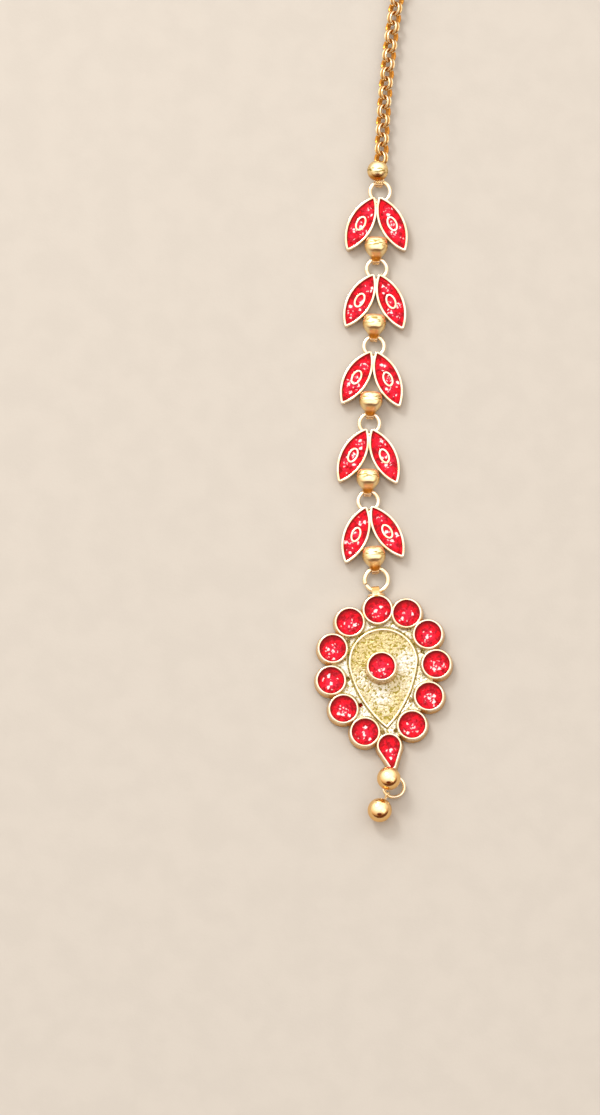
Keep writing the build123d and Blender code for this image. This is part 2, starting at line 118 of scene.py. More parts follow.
# How much wider the jump ring is sprung than its solid.
SPRUNG = 0.08

PENDANT_TURN = 6.0
BAIL_START = 2.7
BAIL_SEAT = 3.78
BAIL_TOP = 4.62
# Where the bail's fold starts to darken with painted shade, and where the top cup's rim is
# painted dark in a notch under it.
BAIL_SHADE = 3.35
BAIL_NOTCH_SHADE = 2.65
CELL_RIM = 0.4
CELL_POCKET = 2.5
CELL_HEIGHT = 2.0
CELL_FLOOR = 1.0
CELL_FLARE = 0.3
# How far a cup's back and its floor reach in from its wall, before they run to its middle.
CUP_LAP = 0.3
# A flared cup's foot is upright up to here, its shoulder this far below its rim, and its
# rim this much narrower at the top.
FLARE_FOOT = 0.45
FLARE_SHOULDER = 0.4
FLARE_TAPER = 0.09
BOSS_POCKET = 2.45
BOSS_HEIGHT = 3.4
BOSS_FLOOR = 2.3
BOSS_BASE = 0.3
BOSS_FLARE = 0.4
DROP_CENTRE = (-0.45, -26.1)
DROP_TIP = (-0.25, -30.0)
DROP_POCKET = 2.0
DROP_TIP_RADIUS = 0.35
FIELD_TOP = 3.75
FIELD_WAIST = 10.4
FIELD_HALF_WIDTH = 6.3
FIELD_TIP = (-0.5, -22.4)
FIELD_BULGE = 1.1
FIELD_CENTRE = np.array([0.0, -12.0])
FIELD_HEIGHT = 0.9
FIELD_BACK = 0.1
SURROUND_HEIGHT = 1.2
# Waves of the field and of its surround: height, length and seed.
FIELD_WAVES = [(0.05, 3.1, 4), (0.02, 1.1, 7)]
SURROUND_WAVES = [(0.06, 3.4, 2), (0.05, 1.2, 9)]
# How far from the border each of them has its groove: painted shade on the field, and a
# real dip, also painted in shade, on the surround.
FIELD_GROOVE = 0.40
SURROUND_GROOVE = 0.34
BORDER_HALF = 0.17
BORDER_FOOT, BORDER_TOP = 0.5, 1.4
# Pits in the surround: across, along and how dark, as painted shade in each dent. The
# third is a hole, painted dark red as its shadow.
PITS = np.array([
    (-6.1, -5.45, 0.9), (-6.9, -12.6, 0.9), (-5.05, -17.8, 5.0), (4.5, -17.9, 1.0),
    (7.6, -8.7, 0.8), (1.05, -23.3, 1.0), (-1.4, -23.4, 1.0),
])
# Heights of the enamel at its wall and at its middle.
LEAF_FILL = (1.46, 1.52)
CELL_FILL = (1.50, 1.72)
BOSS_FILL = (2.88, 3.12)
DROP_FILL = (1.50, 1.70)
ENAMEL_GAP = 0.02
# The way that shadow lies in a pocket, in degrees.
CELL_SHADOW = 115
LEAF_SHADOW = {1: 90, -1: 150}
# How far from its wall a leaf's enamel is shaded, as a pocket's radius is in a round cell.
LEAF_REACH = 1.2
# How thickly painted glints are strewn all over the enamel of each kind of pocket.
LEAF_STREWN, CELL_STREWN, BOSS_STREWN = 0.15, 0.18, 0.30

TIP_EYE = {"half_width": 0.5, "metal": 0.3, "height": 1.4}
TIP_EYE_LAP = 0.55
TIP_EYE_END = 33.0
TIP_SEAT = 31.98
TIP_RING = {"radius": 1.93, "wire": 0.34, "height": 0.7, "turn": 2.0}
DROP_LOOP_WIRE = 0.19
CAP_RADIUS = 0.65
STEM_RADIUS = 0.27
# The balls on the tip ring. `offset` is (across, along, turn) from the ring's middle, and
# `swung` is how far the ball has moved from where its solid rests.
DROPS = {
    "upper": {
        "radius": 2.23, "height": 3.74, "offset": (-0.93, 0.84, 0.0), "swung": (-0.05, 0.30),
        "loop_angle": 150.0, "loop_radius": 0.71, "loop_height": 0.9, "capped": False,
    },
    "lower": {
        "radius": 2.3, "height": 2.3, "offset": (5.42, 0.0, 240.6), "swung": (0.0, 0.03),
        "loop_angle": 230.0, "loop_radius": 0.56, "loop_height": 0.75, "capped": True,
    },
}
CONNECTOR_SWUNG = (-0.45, 0.0)
CONNECTOR_STRAP_START = 0.7

# The bulb of a leaf link, from its flat top to where its neck runs out on the strap: how far
# below the apex, half its width, half its depth and the height of its middle.
BULB = [
    (7.80, 0.00, 0.00, 2.20), (7.80, 0.60, 0.60, 2.20), (7.80, 1.10, 1.10, 2.20),
    (7.81, 1.36, 1.36, 2.20), (7.87, 1.54, 1.54, 2.20), (8.05, 1.76, 1.76, 2.20),
    (8.35, 1.96, 2.02, 2.20), (8.80, 2.10, 2.14, 2.20), (9.35, 2.20, 2.19, 2.20),
    (9.95, 2.13, 2.17, 2.20), (10.45, 1.90, 2.03, 2.18), (10.90, 1.58, 1.64, 2.13),
    (11.30, 1.22, 1.12, 2.03), (11.65, 0.95, 0.74, 1.88), (12.00, 0.76, 0.40, 1.66),
    (12.25, 0.55, 0.16, 1.50), (12.32, 0.26, 0.05, 1.46), (12.33, 0.00, 0.00, 1.45),
]
# Where along it the bulb's rubbed belt, its shaded foot and its middle are.
BULB_BELT = -9.0
BULB_FOOT = -11.85
BULB_MIDDLE = (0, -7.7)
# The connector's neck, in the same columns.
CONNECTOR_NECK = [
    (1.20, 0.00, 0.00, 2.40), (1.25, 1.00, 0.90, 2.40), (1.75, 0.80, 0.66, 2.05),
    (2.20, 0.66, 0.34, 1.66), (2.40, 0.50, 0.12, 1.47), (2.43, 0.00, 0.00, 1.45),
]

# What is left of a plating's red, green and blue where its clouds are deeper, where it is
# in painted shade, on a ball's sides as a painted reflection of warm surroundings, and where
# it is scratched.
DEEPER = (0.95, 0.86, 0.66)
SHADED = (0.68, 0.40, 0.11)
CHAIN_SHADED = (0.56, 0.24, 0.03)
BALL_SIDE_REFLECTION = (0.86, 0.54, 0.22)
BALL_SHADED = (0.52, 0.23, 0.05)
BALL_SCRATCH = (0.37, 0.26, 0.08)
OLIVE = (0.60, 0.57, 0.15)
# Painted shadow in the hole through the surround: dark red.
HOLE_SHADOW = (0.32, 0.02, 0.01)
# A pink lift in the enamel: partly mottling of its crimped ground, partly a painted sheen where
# the glints gather.
HAZE_AND_SHEEN = (0.98, 0.035, 0.10)
# Painted glints in the enamel: pale pink spots that stand in for light off its crimped ground.
PAINTED_GLINT_COLOUR = (1.0, 0.74, 0.78)

# Bells of painted glints in a leaf's enamel and of brighter patches on the field: across,
# along, spread and strength.
LEAF_GLINT_SPOTS = [
    (-0.6, -1.7, 0.8, 1.0), (0.9, -1.3, 0.7, 0.9), (0, 0, 0.5, 1.3), (0.2, 2.6, 0.9, 0.9),
    (0, -3.2, 0.7, 0.6),
]
FIELD_BRIGHT_PATCHES = [(4.2, -11.0, 3.6, 0.8), (-1.0, -16.0, 3.2, 0.7), (-5.0, -12.5, 2.2, 0.5)]

FLOOR_HALF = 1.5
FLOOR_LEVEL = -0.0003
# Each lamp's offset from the part's middle, side, share of the key's power, and colour.
LAMPS = {
    "Key": ((-0.30, 0.42, 0.55), 0.22, 1.0, (1.0, 0.97, 0.92)),
    "Fill": ((0.50, -0.25, 0.55), 0.5, 0.25, (1.0, 0.96, 0.90)),
}
DOME_AXIS = (-0.18, 0.66, 0.73)
DOME_STRENGTH = 1.6
DOME_STOPS = [
    (0.35, (0.10, 0.035, 0.014)),
    (0.46, (0.42, 0.26, 0.14)),
    (0.60, (0.66, 0.51, 0.37)),
    (0.75, (0.84, 0.75, 0.63)),
    (0.87, (1.0, 0.97, 0.94)),
]
CARD_SQUEEZE = (0.6, 1.0, 1.0)
CARD_MIDDLE = (-0.03, -0.75, 0.66)
CARD_EDGE = (0.19, 0.28)
CARD_COLOUR = (0.10, 0.015, 0.004)
CAMERA_AIM = (-0.01588, -0.03468, 0.0)
CAMERA_ROLL = 0.24
VIEW_HEIGHT = 0.21067
SENSOR = 36.0


# ---------------------------------------------------------------- places

def turned(across, along, turn):
    """(across, along) turned counter-clockwise by an angle in degrees."""
    cos, sin = np.cos(np.radians(turn)), np.sin(np.radians(turn))
    return np.array([across * cos - along * sin, across * sin + along * cos])


def middle_of(node):
    """Middle of a CAD node's box seen from above, in millimetres."""
    low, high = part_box(node)
    return np.array([(low.x + high.x) / 2, (low.y + high.y) / 2]) / MM


def layout():
    """Where each casting stands, worked up from the pendant's top cell as in the source."""
    top_cell = middle_of("cell_enamel_1")
    jump = top_cell + turned(0, BAIL_SEAT, PENDANT_TURN) + turned(0, JUMP["radius"], JUMP["lean"])
    seat, drop = jump + turned(0, JUMP["radius"], JUMP["hang"]), JUMP["seat"]
    apexes = []
    for turn, aside, lean in reversed(LINKS):
        apexes.insert(0, seat + turned(0, drop, turn))
        seat = apexes[0] + turned(aside, RING_RISE, turn) + turned(0, RING_RADIUS, lean)
        drop = SEAT_DROP
    connector = seat + turned(0, CONNECTOR["seat"], CONNECTOR["turn"])
    chain = connector + turned(0, CONNECTOR["loop"], CONNECTOR["turn"])
    tip = top_cell + turned(DROP_TIP[0], -TIP_SEAT, PENDANT_TURN)
    tip = tip + turned(0, -TIP_RING["radius"], TIP_RING["turn"])
    return top_cell, jump, apexes, connector, chain, tip


def flat_frame(spot, turn, height=0.0):
    """Origin and the three axes, as rows, of a level plane turned counter-clockwise."""
    x = turned(1, 0, turn)
    axes = np.array([[x[0], x[1], 0.0], [-x[1], x[0], 0.0], [0.0, 0.0, 1.0]])
    return np.array([spot[0], spot[1], height]), axes


def tilted(place, about_x, about_y):
    """The place turned about its own X axis and then about its own Y axis."""
    origin, axes = place
    a, b = np.radians([about_x, about_y])
    turn_x = np.array([[1, 0, 0], [0, np.cos(a), np.sin(a)], [0, -np.sin(a), np.cos(a)]])
    turn_y = np.array([[np.cos(b), 0, -np.sin(b)], [0, 1, 0], [np.sin(b), 0, np.cos(b)]])
    return origin, turn_y @ turn_x @ axes


def chain_frame(number, leaning=1):
    """A chain link's place, a number of pitches along the chain's arc from its first loop.
    Odd links lean to the right and even ones to the left, unless leaning is 0."""
    start = np.radians(CHAIN_HEADING)
    heading = start + number * CHAIN_PITCH / CHAIN_BEND
    arc = np.array([np.cos(start) - np.cos(heading), np.sin(heading) - np.sin(start)])
    place = flat_frame(CHAIN_SPOT + CHAIN_BEND * arc, -np.degrees(heading), CHAIN_HEIGHT)
    return tilted(place, 0, leaning * (CHAIN_LEAN if number % 2 else -CHAIN_LEAN))


def put(points, place, at=(0, 0, 0)):
    """Points of a shape's own frame, moved by `at` and then into the part's frame."""
    origin, axes = place
    return (points + np.asarray(at)) @ axes + origin


def in_pendant(*nodes):
    """Middles of CAD nodes in the pendant's own plane."""
    origin, axes = PENDANT
    return (np.array([middle_of(node) for node in nodes]) - origin[:2]) @ axes[:2, :2].T


TOP_CELL, JUMP_SPOT, APEXES, CONNECTOR_SPOT, CHAIN_SPOT, TIP_SPOT = layout()
PENDANT = flat_frame(TOP_CELL, PENDANT_TURN)
CELLS = in_pendant(*(f"cell_enamel_{number}" for number in range(1, 12)))
BOSS = in_pendant("boss_enamel")[0]


# ---------------------------------------------------------------- outlines and profiles

def bell(distance, width, power=2):
    """1 at no distance and falling off on both sides: exp(-(distance / width)^power)."""
    return np.exp(-((distance / width) ** power))


def compass(steps):
    """Cosines and sines of angles evenly spaced round a circle."""
    angle = np.linspace(0, 2 * np.pi, steps, endpoint=False)
    return np.cos(angle), np.sin(angle)


def arcs(rows, spacing=0.12, reach=0.5):
    """An outline as a chain of arcs, each (centre x, centre y, radius, first, last angle).

    A spot is centre + radius * (cos, sin) of the angle, and its normal is (cos, sin). A
    corner is an arc of no radius, and a straight side is the step between two arcs."""
    spots, normals = [], []
    for x, y, radius, first, last in rows:
        steps = max(3, int(abs(np.radians(last - first)) * (radius + reach) / spacing))
        angle = np.radians(np.linspace(first, last, steps))
        normals.append(np.stack([np.cos(angle), np.sin(angle)], 1))
        spots.append(np.array([x, y]) + radius * normals[-1])
    return np.concatenate(spots), np.concatenate(normals)


def ring_of(steps=96, radius=0.0):
    """A circle. With no radius it is the outline of everything turned about an axis."""
    normal = np.stack(compass(steps), 1)
    return normal * radius, normal


def oval(half_x, half_y, steps=72):
    """An ellipse, (half_x * cos, half_y * sin), whose normals go along
    (cos / half_x, sin / half_y)."""
    cos, sin = compass(steps)
    normal = np.stack([cos / half_x, sin / half_y], 1)
    normal = normal / np.linalg.norm(normal, axis=1)[:, None]
    return np.stack([half_x * cos, half_y * sin], 1), normal


def leaf_outline():
    """A leaf's pocket about its middle: two arcs that meet in a point at each end."""
    radius = (LEAF_LENGTH**2 / 4 + LEAF_BULGE**2) / (2 * LEAF_BULGE)
    half = np.degrees(np.arcsin(LEAF_LENGTH / 2 / radius))
    shift, end = radius - LEAF_BULGE, LEAF_LENGTH / 2
    return arcs([
        (-shift, 0, radius, -half, half),
        (0, end, 0, half, 180 - half),
        (shift, 0, radius, 180 - half, 180 + half),
        (0, -end, 0, 180 + half, 360 - half),
    ])


def drop_outline():
    """The drop cell's pocket: a large and a small circle, and the lines that touch both."""
    along = np.array(DROP_TIP) - DROP_CENTRE
    heading = np.degrees(np.arctan2(along[1], along[0]))
    spread = np.degrees(np.arccos((DROP_POCKET - DROP_TIP_RADIUS) / np.linalg.norm(along)))
    return arcs([
        (*DROP_CENTRE, DROP_POCKET, heading + spread, heading + 360 - spread),
        (*DROP_TIP, DROP_TIP_RADIUS, heading + 360 - spread, heading + 360 + spread),
    ])


def bowed(start, end, bulge):
    """The arc from start to end, clockwise about the shape, that bows out by the bulge.

    Its half-angle is twice the arctangent of the bulge over half the chord."""
    chord = end - start
    half = np.linalg.norm(chord) / 2
    radius = (half**2 + bulge**2) / (2 * bulge)
    out = np.array([-chord[1], chord[0]]) / (2 * half)
    centre = (start + end) / 2 + out * (bulge - radius)
    middle = np.degrees(np.arctan2(out[1], out[0]))
    spread = 2 * np.degrees(np.arctan(bulge / half))
    return centre[0], centre[1], radius, middle + spread, middle - spread


def field_outline():
    """The sunk teardrop's edge, clockwise from its left side: a crown and two bowed sides."""
    left = np.array([-FIELD_HALF_WIDTH, -FIELD_WAIST])
    right = np.array([FIELD_HALF_WIDTH, -FIELD_WAIST])
    tip = np.array(FIELD_TIP)
    crown = bowed(left, right, FIELD_WAIST - FIELD_TOP)
    side, other = bowed(right, tip, FIELD_BULGE), bowed(tip, left, FIELD_BULGE)
    return arcs([
        crown, (*right, 0, crown[4], side[3]),
        side, (*tip, 0, side[4], other[3]),
        other, (*left, 0, other[4], crown[3] - 360),
    ])


def soften(corners, reach, steps=5, closed=False):
    """A profile with its corners rounded, each by a quadratic curve.

    The curve leaves and meets the sides `reach` from the corner, at most 0.45 of a side,
    with one more point a little before and after it, so that the flats stay flat."""
    p = np.asarray(corners, float)
    back, on = np.roll(p, 1, 0) - p, np.roll(p, -1, 0) - p
    long_back, long_on = np.linalg.norm(back, axis=1), np.linalg.norm(on, axis=1)
    cut = np.minimum(np.broadcast_to(reach, len(p)), 0.45 * np.minimum(long_back, long_on))
    back, on = back / long_back[:, None], on / long_on[:, None]
    s = np.linspace(0, 1, steps)[None, :, None]
    start, end = p + back * cut[:, None], p + on * cut[:, None]
    curve = (1 - s) ** 2 * start[:, None] + 2 * s * (1 - s) * p[:, None] + s**2 * end[:, None]
    before = (start + back * 0.1 * cut[:, None])[:, None]
    after = (end + on * 0.1 * cut[:, None])[:, None]
    rounded = np.concatenate([before, curve, after], 1)
    if closed:
        return rounded.reshape(-1, 2)
    return np.concatenate([p[:1], rounded[1:-1].reshape(-1, 2), p[-1:]])


def bar(low, high, reach, steps):
    """The section of a bar with rounded edges, between two opposite corners."""
    (left, bottom), (right, top) = low, high
    return soften([low, (right, bottom), high, (left, top)], reach, steps, closed=True)


def through(rows, steps=6):
    """A smooth curve through rows of numbers: cubic pieces with the slopes of their neighbours."""
    p = np.asarray(rows, float)
    slope = np.gradient(p, axis=0)
    s = np.linspace(0, 1, steps, endpoint=False)[None, :, None]
    a, b, da, db = p[:-1, None], p[1:, None], slope[:-1, None], slope[1:, None]
    curve = (2 * s**3 - 3 * s**2 + 1) * a + (s**3 - 2 * s**2 + s) * da
    curve = curve + (3 * s**2 - 2 * s**3) * b + (s**3 - s**2) * db
    return np.concatenate([curve.reshape(-1, p.shape[1]), p[-1:]])


# ---------------------------------------------------------------- surfaces

def lifted(flat, up):
    """Points of a plane, each at its height."""
    return np.concatenate([flat, np.broadcast_to(up, flat.shape[:-1])[..., None]], -1)


def carried(outline, profile):
    """A profile of (out, up) carried along an outline: spot + normal * out, at height up."""
    spots, normals = outline
    return lifted(spots[:, None, :] + normals[:, None, :] * profile[None, :, :1], profile[:, 1])


def gathered(surface, centre):
    """The surface with its first and last ring drawn to points over the centre."""
    first, last = surface[:, :1].copy(), surface[:, -1:].copy()
    first[..., :2] = last[..., :2] = centre
    return np.concatenate([first, surface, last], 1)


def drawn(edge, to, shares):
    """Rows of points from an edge to what it is drawn to: edge + (to - edge) * share."""
    return edge[:, None, :] + (to - edge)[:, None, :] * shares[None, :, None]


def backed(edge, centre, base, face):
    """A face closed by a flat back at height base, from its edge to its centre."""
    lip = lifted(edge, base)[:, None, :]
    return np.concatenate([np.broadcast_to(np.array([*centre, base]), lip.shape), lip, face], 1)


def torus(radius, wire, steps=96, turns=24):
    """A ring of round wire: a circle of the wire's radius carried round the ring's circle."""
    cos, sin = compass(turns)
    return carried(ring_of(steps), np.stack([radius + wire * cos, wire * sin], 1))


def ball(radius, seam=0.0, steps=96, rows=64):
    """A ball about its own Y axis, with a fine seam round its middle.

    Its radius is radius - seam * exp(-(latitude / 0.03)^2), at latitudes bunched at the seam."""
    s = np.linspace(-1, 1, rows)
    latitude = np.pi / 2 * np.sign(s) * np.abs(s) ** 1.6 if seam else np.pi / 2 * s
    size = radius - seam * bell(latitude, 0.03)
    cos, sin = compass(steps)
    level = size * np.cos(latitude)
    x, z = level * cos[:, None], level * sin[:, None]
    return np.stack([x, np.broadcast_to(size * np.sin(latitude), x.shape), z], 2)


def bulb(rows, steps=64, turn=6, power=1.0):
    """Ovals along -Y, each (width * cos^power, -drop, height + depth * sin^power) with the
    signs kept, smooth through a table. A power below 1 flattens the sides."""
    drop, width, depth, height = through(rows, turn).T
    width, depth = np.maximum(width, 0), np.maximum(depth, 0)
    across, up = (np.sign(part) * np.abs(part) ** power for part in compass(steps))
    x, z = width * across[:, None], height + depth * up[:, None]
    return np.stack([x, np.broadcast_to(-drop, x.shape), z], 2)


def band(near, far, half_width, metal, height, across=0.0):
    """A folded strap: a rounded bar section carried round a loop in the plane of its side."""
    middle = metal / 2
    end = far - middle * np.sign(far - near)
    fold = 0.42 * height
    loop = bar((near, middle), (end, height - middle), [0.05, fold, fold, 0.05], 9)
    ahead = np.roll(loop, -1, 0) - np.roll(loop, 1, 0)
    normal = np.stack([ahead[:, 1], -ahead[:, 0]], 1) / np.linalg.norm(ahead, axis=1)[:, None]
    section = bar((-middle, -half_width), (middle, half_width), 0.1, 4)
    surface = carried((loop, normal), section)
    return np.stack([surface[..., 2] + across, surface[..., 0], surface[..., 1]], 2)


def wire_along(path, side, radii, turns=20):
    """A round wire: path + radius * (cos * side + sin * up), for each station of the path."""
    cos, sin = (part[None, :, None] for part in compass(turns))
    ring = cos * side[:, None, :] + sin * np.array([0.0, 0.0, 1.0])
    return path[:, None, :] + radii[:, None, None] * ring


def waves(x, y, length, seed):
    """Soft unevenness between -1 and 1: five sine waves in directions set by the seed."""
    rng = np.random.default_rng(seed)
    total = np.zeros_like(x)
    draws = rng.uniform(0, 6.3, 5), rng.uniform(0.7, 1.6, 5), rng.uniform(0, 6.3, 5)
    for turn, stretch, phase in zip(*draws):
        along = x * np.cos(turn) + y * np.sin(turn)
        total = total + np.sin(along * 6.283 / (length * stretch) + phase)
    return total / 5


def uneven(flat, level, rows):
    """A level with waves on it, each (height, length, seed)."""
    for height, length, seed in rows:
        level = level + height * waves(flat[..., 0], flat[..., 1], length, seed)
    return level


def spots_of(grid, rows):
    """The sum of bells, each (across, along, spread, strength), of
    strength * exp(-(distance / spread)^2)."""
    return sum(
        strength * np.exp(-((grid[..., 0] - x) ** 2 + (grid[..., 1] - y) ** 2) / spread**2)
        for x, y, spread, strength in rows
    )


class Shells:
    """Grids of points, in millimetres, that become one mesh."""

    def __init__(self):
        self.points, self.quads, self.marks, self.total = [], [], {}, 0

    def add(self, grid, around=True, closed=False, **marks):
        """Adds a closed grid of rows of points. `around` joins its last row to its first and
        `closed` its last column to its first. Each mark is painted on its points.

        Faces are turned to the side that makes the shape's volume positive."""
        rows, columns = grid.shape[:2]
        index = np.arange(rows * columns).reshape(rows, columns)
        index = np.concatenate([index, index[:1]]) if around else index
        index = np.concatenate([index, index[:, :1]], 1) if closed else index
        quads = np.stack([index[:-1, :-1], index[1:, :-1], index[1:, 1:], index[:-1, 1:]], 2)
        quads, points = quads.reshape(-1, 4), grid.reshape(-1, 3)
        a, b, c, d = (points[quads[:, n]] - points.mean(0) for n in range(4))
        volume = (np.cross(a, b) * c).sum() + (np.cross(a, c) * d).sum()
        self.quads.append((quads if volume > 0 else quads[:, ::-1]) + self.total)
        self.points.append(points)
        for name, values in marks.items():
            painted = np.broadcast_to(values, grid.shape[:2]).ravel()
            self.marks.setdefault(name, []).append((self.total, painted))
        self.total += len(points)
        return self

    def piece(self, name, material, slot, *nodes):
        """One smooth mesh object of all the grids, riding on the part in place of its nodes."""
        points, quads = np.concatenate(self.points) * MM, np.concatenate(self.quads)
        mesh = bpy.data.meshes.new(name)
        mesh.vertices.add(len(points))
        mesh.vertices.foreach_set("co", points.astype(np.float32).ravel())
        mesh.loops.add(quads.size)
        mesh.loops.foreach_set("vertex_index", quads.astype(np.int32).ravel())
        mesh.polygons.add(len(quads))
        mesh.polygons.foreach_set("loop_start", np.arange(0, quads.size, 4, dtype=np.int32))
        mesh.update(calc_edges=True)
        for mark, values in self.marks.items():
            painted = np.zeros(len(points), np.float32)
            for start, part in values:
                painted[start:start + len(part)] = part
            mesh.attributes.new(mark, "FLOAT", "POINT").data.foreach_set("value", painted)
        shape = bmesh.new()
        shape.from_mesh(mesh)
        bmesh.ops.remove_doubles(shape, verts=shape.verts, dist=2e-7)
        bmesh.ops.dissolve_degenerate(shape, edges=shape.edges, dist=1e-8)
        shape.to_mesh(mesh)
        shape.free()
        mesh.polygons.foreach_set("use_smooth", np.ones(len(mesh.polygons), bool))
        mesh.materials.append(material)
        made = bpy.data.objects.new(name, mesh)
        bpy.context.scene.collection.objects.link(made)
        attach(made, "root")
        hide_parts(*nodes)


# ---------------------------------------------------------------- finishes

class Value:
    """An output socket of a finish's nodes. Arithmetic on it adds Math nodes."""

    def __init__(self, finish, socket):
        self.finish, self.socket = finish, socket

    def math(self, operation, *values):
        settings = {"operation": operation}
        return self.finish.node("ShaderNodeMath", settings, dict(enumerate(values)))

    def __add__(self, other):
        return self.math("ADD", self, other)

    def __sub__(self, other):
        return self.math("SUBTRACT", self, other)

    def __rsub__(self, other):
        return self.math("SUBTRACT", other, self)

    def __mul__(self, other):
        return self.math("MULTIPLY", self, other)

    __radd__, __rmul__ = __add__, __mul__

    def or_more(self, other):
        return self.math("MAXIMUM", self, other)

    def step(self, low, high):
        """0 below low, 1 above high and smooth between them."""
        settings = {"interpolation_type": "SMOOTHSTEP"}
        inputs = {"Value": self, "From Min": low, "From Max": high}
        return self.finish.node("ShaderNodeMapRange", settings, inputs)


class Finish:
    """The nodes of a material, or of the world, which end in one shader."""

    def __init__(self, owner, shader="ShaderNodeBsdfPrincipled", end="ShaderNodeOutputMaterial"):
        owner.use_nodes = True
        self.owner, self.tree = owner, owner.node_tree
        self.tree.nodes.clear()
        self.shader, output = self.tree.nodes.new(shader), self.tree.nodes.new(end)
        self.tree.links.new(self.shader.outputs[0], output.inputs["Surface"])

    def node(self, kind, settings=None, inputs=None, output=0):
        """A node with its settings, then its sockets' values or links. Returns an output."""
        made = self.tree.nodes.new(kind)
        for name, value in (settings or {}).items():
            if name == "stops":
                ramp = made.color_ramp.elements
                while len(ramp) < len(value):
                    ramp.new(0.5)
                for element, (position, colour) in zip(ramp, value):
                    element.position, element.color = position, (*colour, 1.0)
            else:
                setattr(made, name, value)
        for name, value in (inputs or {}).items():
            self.join(value, made.inputs[name])
        return Value(self, made.outputs[output])

    def join(self, value, socket):
        """Links a value to a socket, or sets the socket to a number or colour."""
        if isinstance(value, Value):
            self.tree.links.new(value.socket, socket)
        else:
            colour = socket.type == "RGBA" and len(value) == 3
            socket.default_value = (*value, 1.0) if colour else value

    def set(self, **sockets):
        """Sets or links the shader's own sockets, spelt with _ for a space, and returns what
        the nodes belong to."""
        for name, value in sockets.items():
            self.join(value, self.shader.inputs[name.replace("_", " ")])
        return self.owner

    def place(self):
        """Object coordinates."""
        return self.node("ShaderNodeTexCoord", output="Object")

    def painted(self, mark):
        """A mark painted on the mesh's points."""
        return self.node("ShaderNodeAttribute", {"attribute_name": mark}, {}, "Fac")

    def noise(self, size, detail=2.0, rough=0.5, place=None, output=0):
        """Noise from 0 to 1 with blobs of a size in millimetres."""
        inputs = {"Vector": place or self.place(), "Scale": 1 / (size * MM)}
        inputs.update({"Detail": detail, "Roughness": rough})
        return self.node("ShaderNodeTexNoise", {}, inputs, output)

    def grains(self, size, place):
        """Irregular grains in plan, of a size in millimetres: distance from the middle of the
        nearest one, and that grain's own number."""
        settings = {"feature": "F1", "voronoi_dimensions": "2D"}
        inputs = {"Vector": place, "Scale": 1 / (size * MM)}
        away, colour = (
            self.node("ShaderNodeTexVoronoi", settings, inputs, output)
            for output in ("Distance", "Color")
        )
        return away, self.node("ShaderNodeSeparateColor", {}, {"Color": colour})

    def mix(self, factor, low, high):
        """A colour between two."""
        return self.node("ShaderNodeMix", {"data_type": "RGBA"}, {0: factor, 6: low, 7: high}, 2)

    def bump(self, height, depth, normal=None, strength=1.0):
        """A Bump node for a height from 0 to 1, that many millimetres deep."""
        inputs = {"Height": height, "Strength": strength, "Distance": depth * MM}
        if normal:
            inputs["Normal"] = normal
        return self.node("ShaderNodeBump", {}, inputs)


def finish_of(name):
    """The finish of a new material."""
    return Finish(bpy.data.materials.new(name))


def toned(colour, tone):
    """A colour times what is left of its red, green and blue."""
    return tuple(part * left for part, left in zip(colour, tone))


def gold(name, colour, roughness, grain, waviness, shaded=SHADED):
    """Polished plating: a warm metal with faint clouds, fine scratches and a soft unevenness,
    browner where `shade`, painted on the mesh, is high.

    grain is the depth of its fine pits and waviness that of its slow waves, in millimetres."""
    finish = finish_of(name)
    clouds = finish.noise(1.6, 3.0).step(0.38, 0.66)
    fine, rubbed = finish.noise(0.16, 3.0, 0.6), finish.noise(0.45, 4.0, 0.65)
    shade = finish.painted("shade")
    tint = finish.mix(clouds, colour, toned(colour, DEEPER))
    return finish.set(
        Base_Color=finish.mix(shade, tint, toned(colour, shaded)),
        Metallic=1 - 0.4 * shade,
        Roughness=roughness + 0.10 * rubbed.step(0.45, 0.75) + 0.04 * fine,
        Normal=finish.bump(fine, grain, finish.bump(finish.noise(1.1, 1.0), waviness)),
    )


def streaked_gold(name, colour, roughness):
    """A polished ball: fine rubbing marks that run round it, deepest where `belt`, painted on
    the mesh, is high, over a soft unevenness. It is deeper, more orange gold where `side` is
    high, as a painted reflection of warm surroundings on its sides, and brown where `shade`
    is, as painted shade."""
    finish = finish_of(name)
    stretch = {"Vector": finish.place(), "Scale": (0.22, 1.0, 0.5)}
    stretched = finish.node("ShaderNodeMapping", {"vector_type": "POINT"}, stretch)
    marks = finish.noise(0.30, 1.0, 0.5, stretched)
    belt = finish.painted("belt")
    line = marks.step(0.51, 0.57) * belt
    tint = finish.mix(finish.painted("side"), colour, toned(colour, BALL_SIDE_REFLECTION))
    tint = finish.mix(finish.painted("shade"), tint, toned(colour, BALL_SHADED))
    return finish.set(
        Base_Color=finish.mix(line, tint, toned(colour, BALL_SCRATCH)),
        Metallic=1.0,
        Roughness=roughness + 0.10 * marks + 0.15 * line,
        Normal=finish.bump(marks * belt, 0.05, finish.bump(finish.noise(1.3, 1.0), 0.02)),
    )


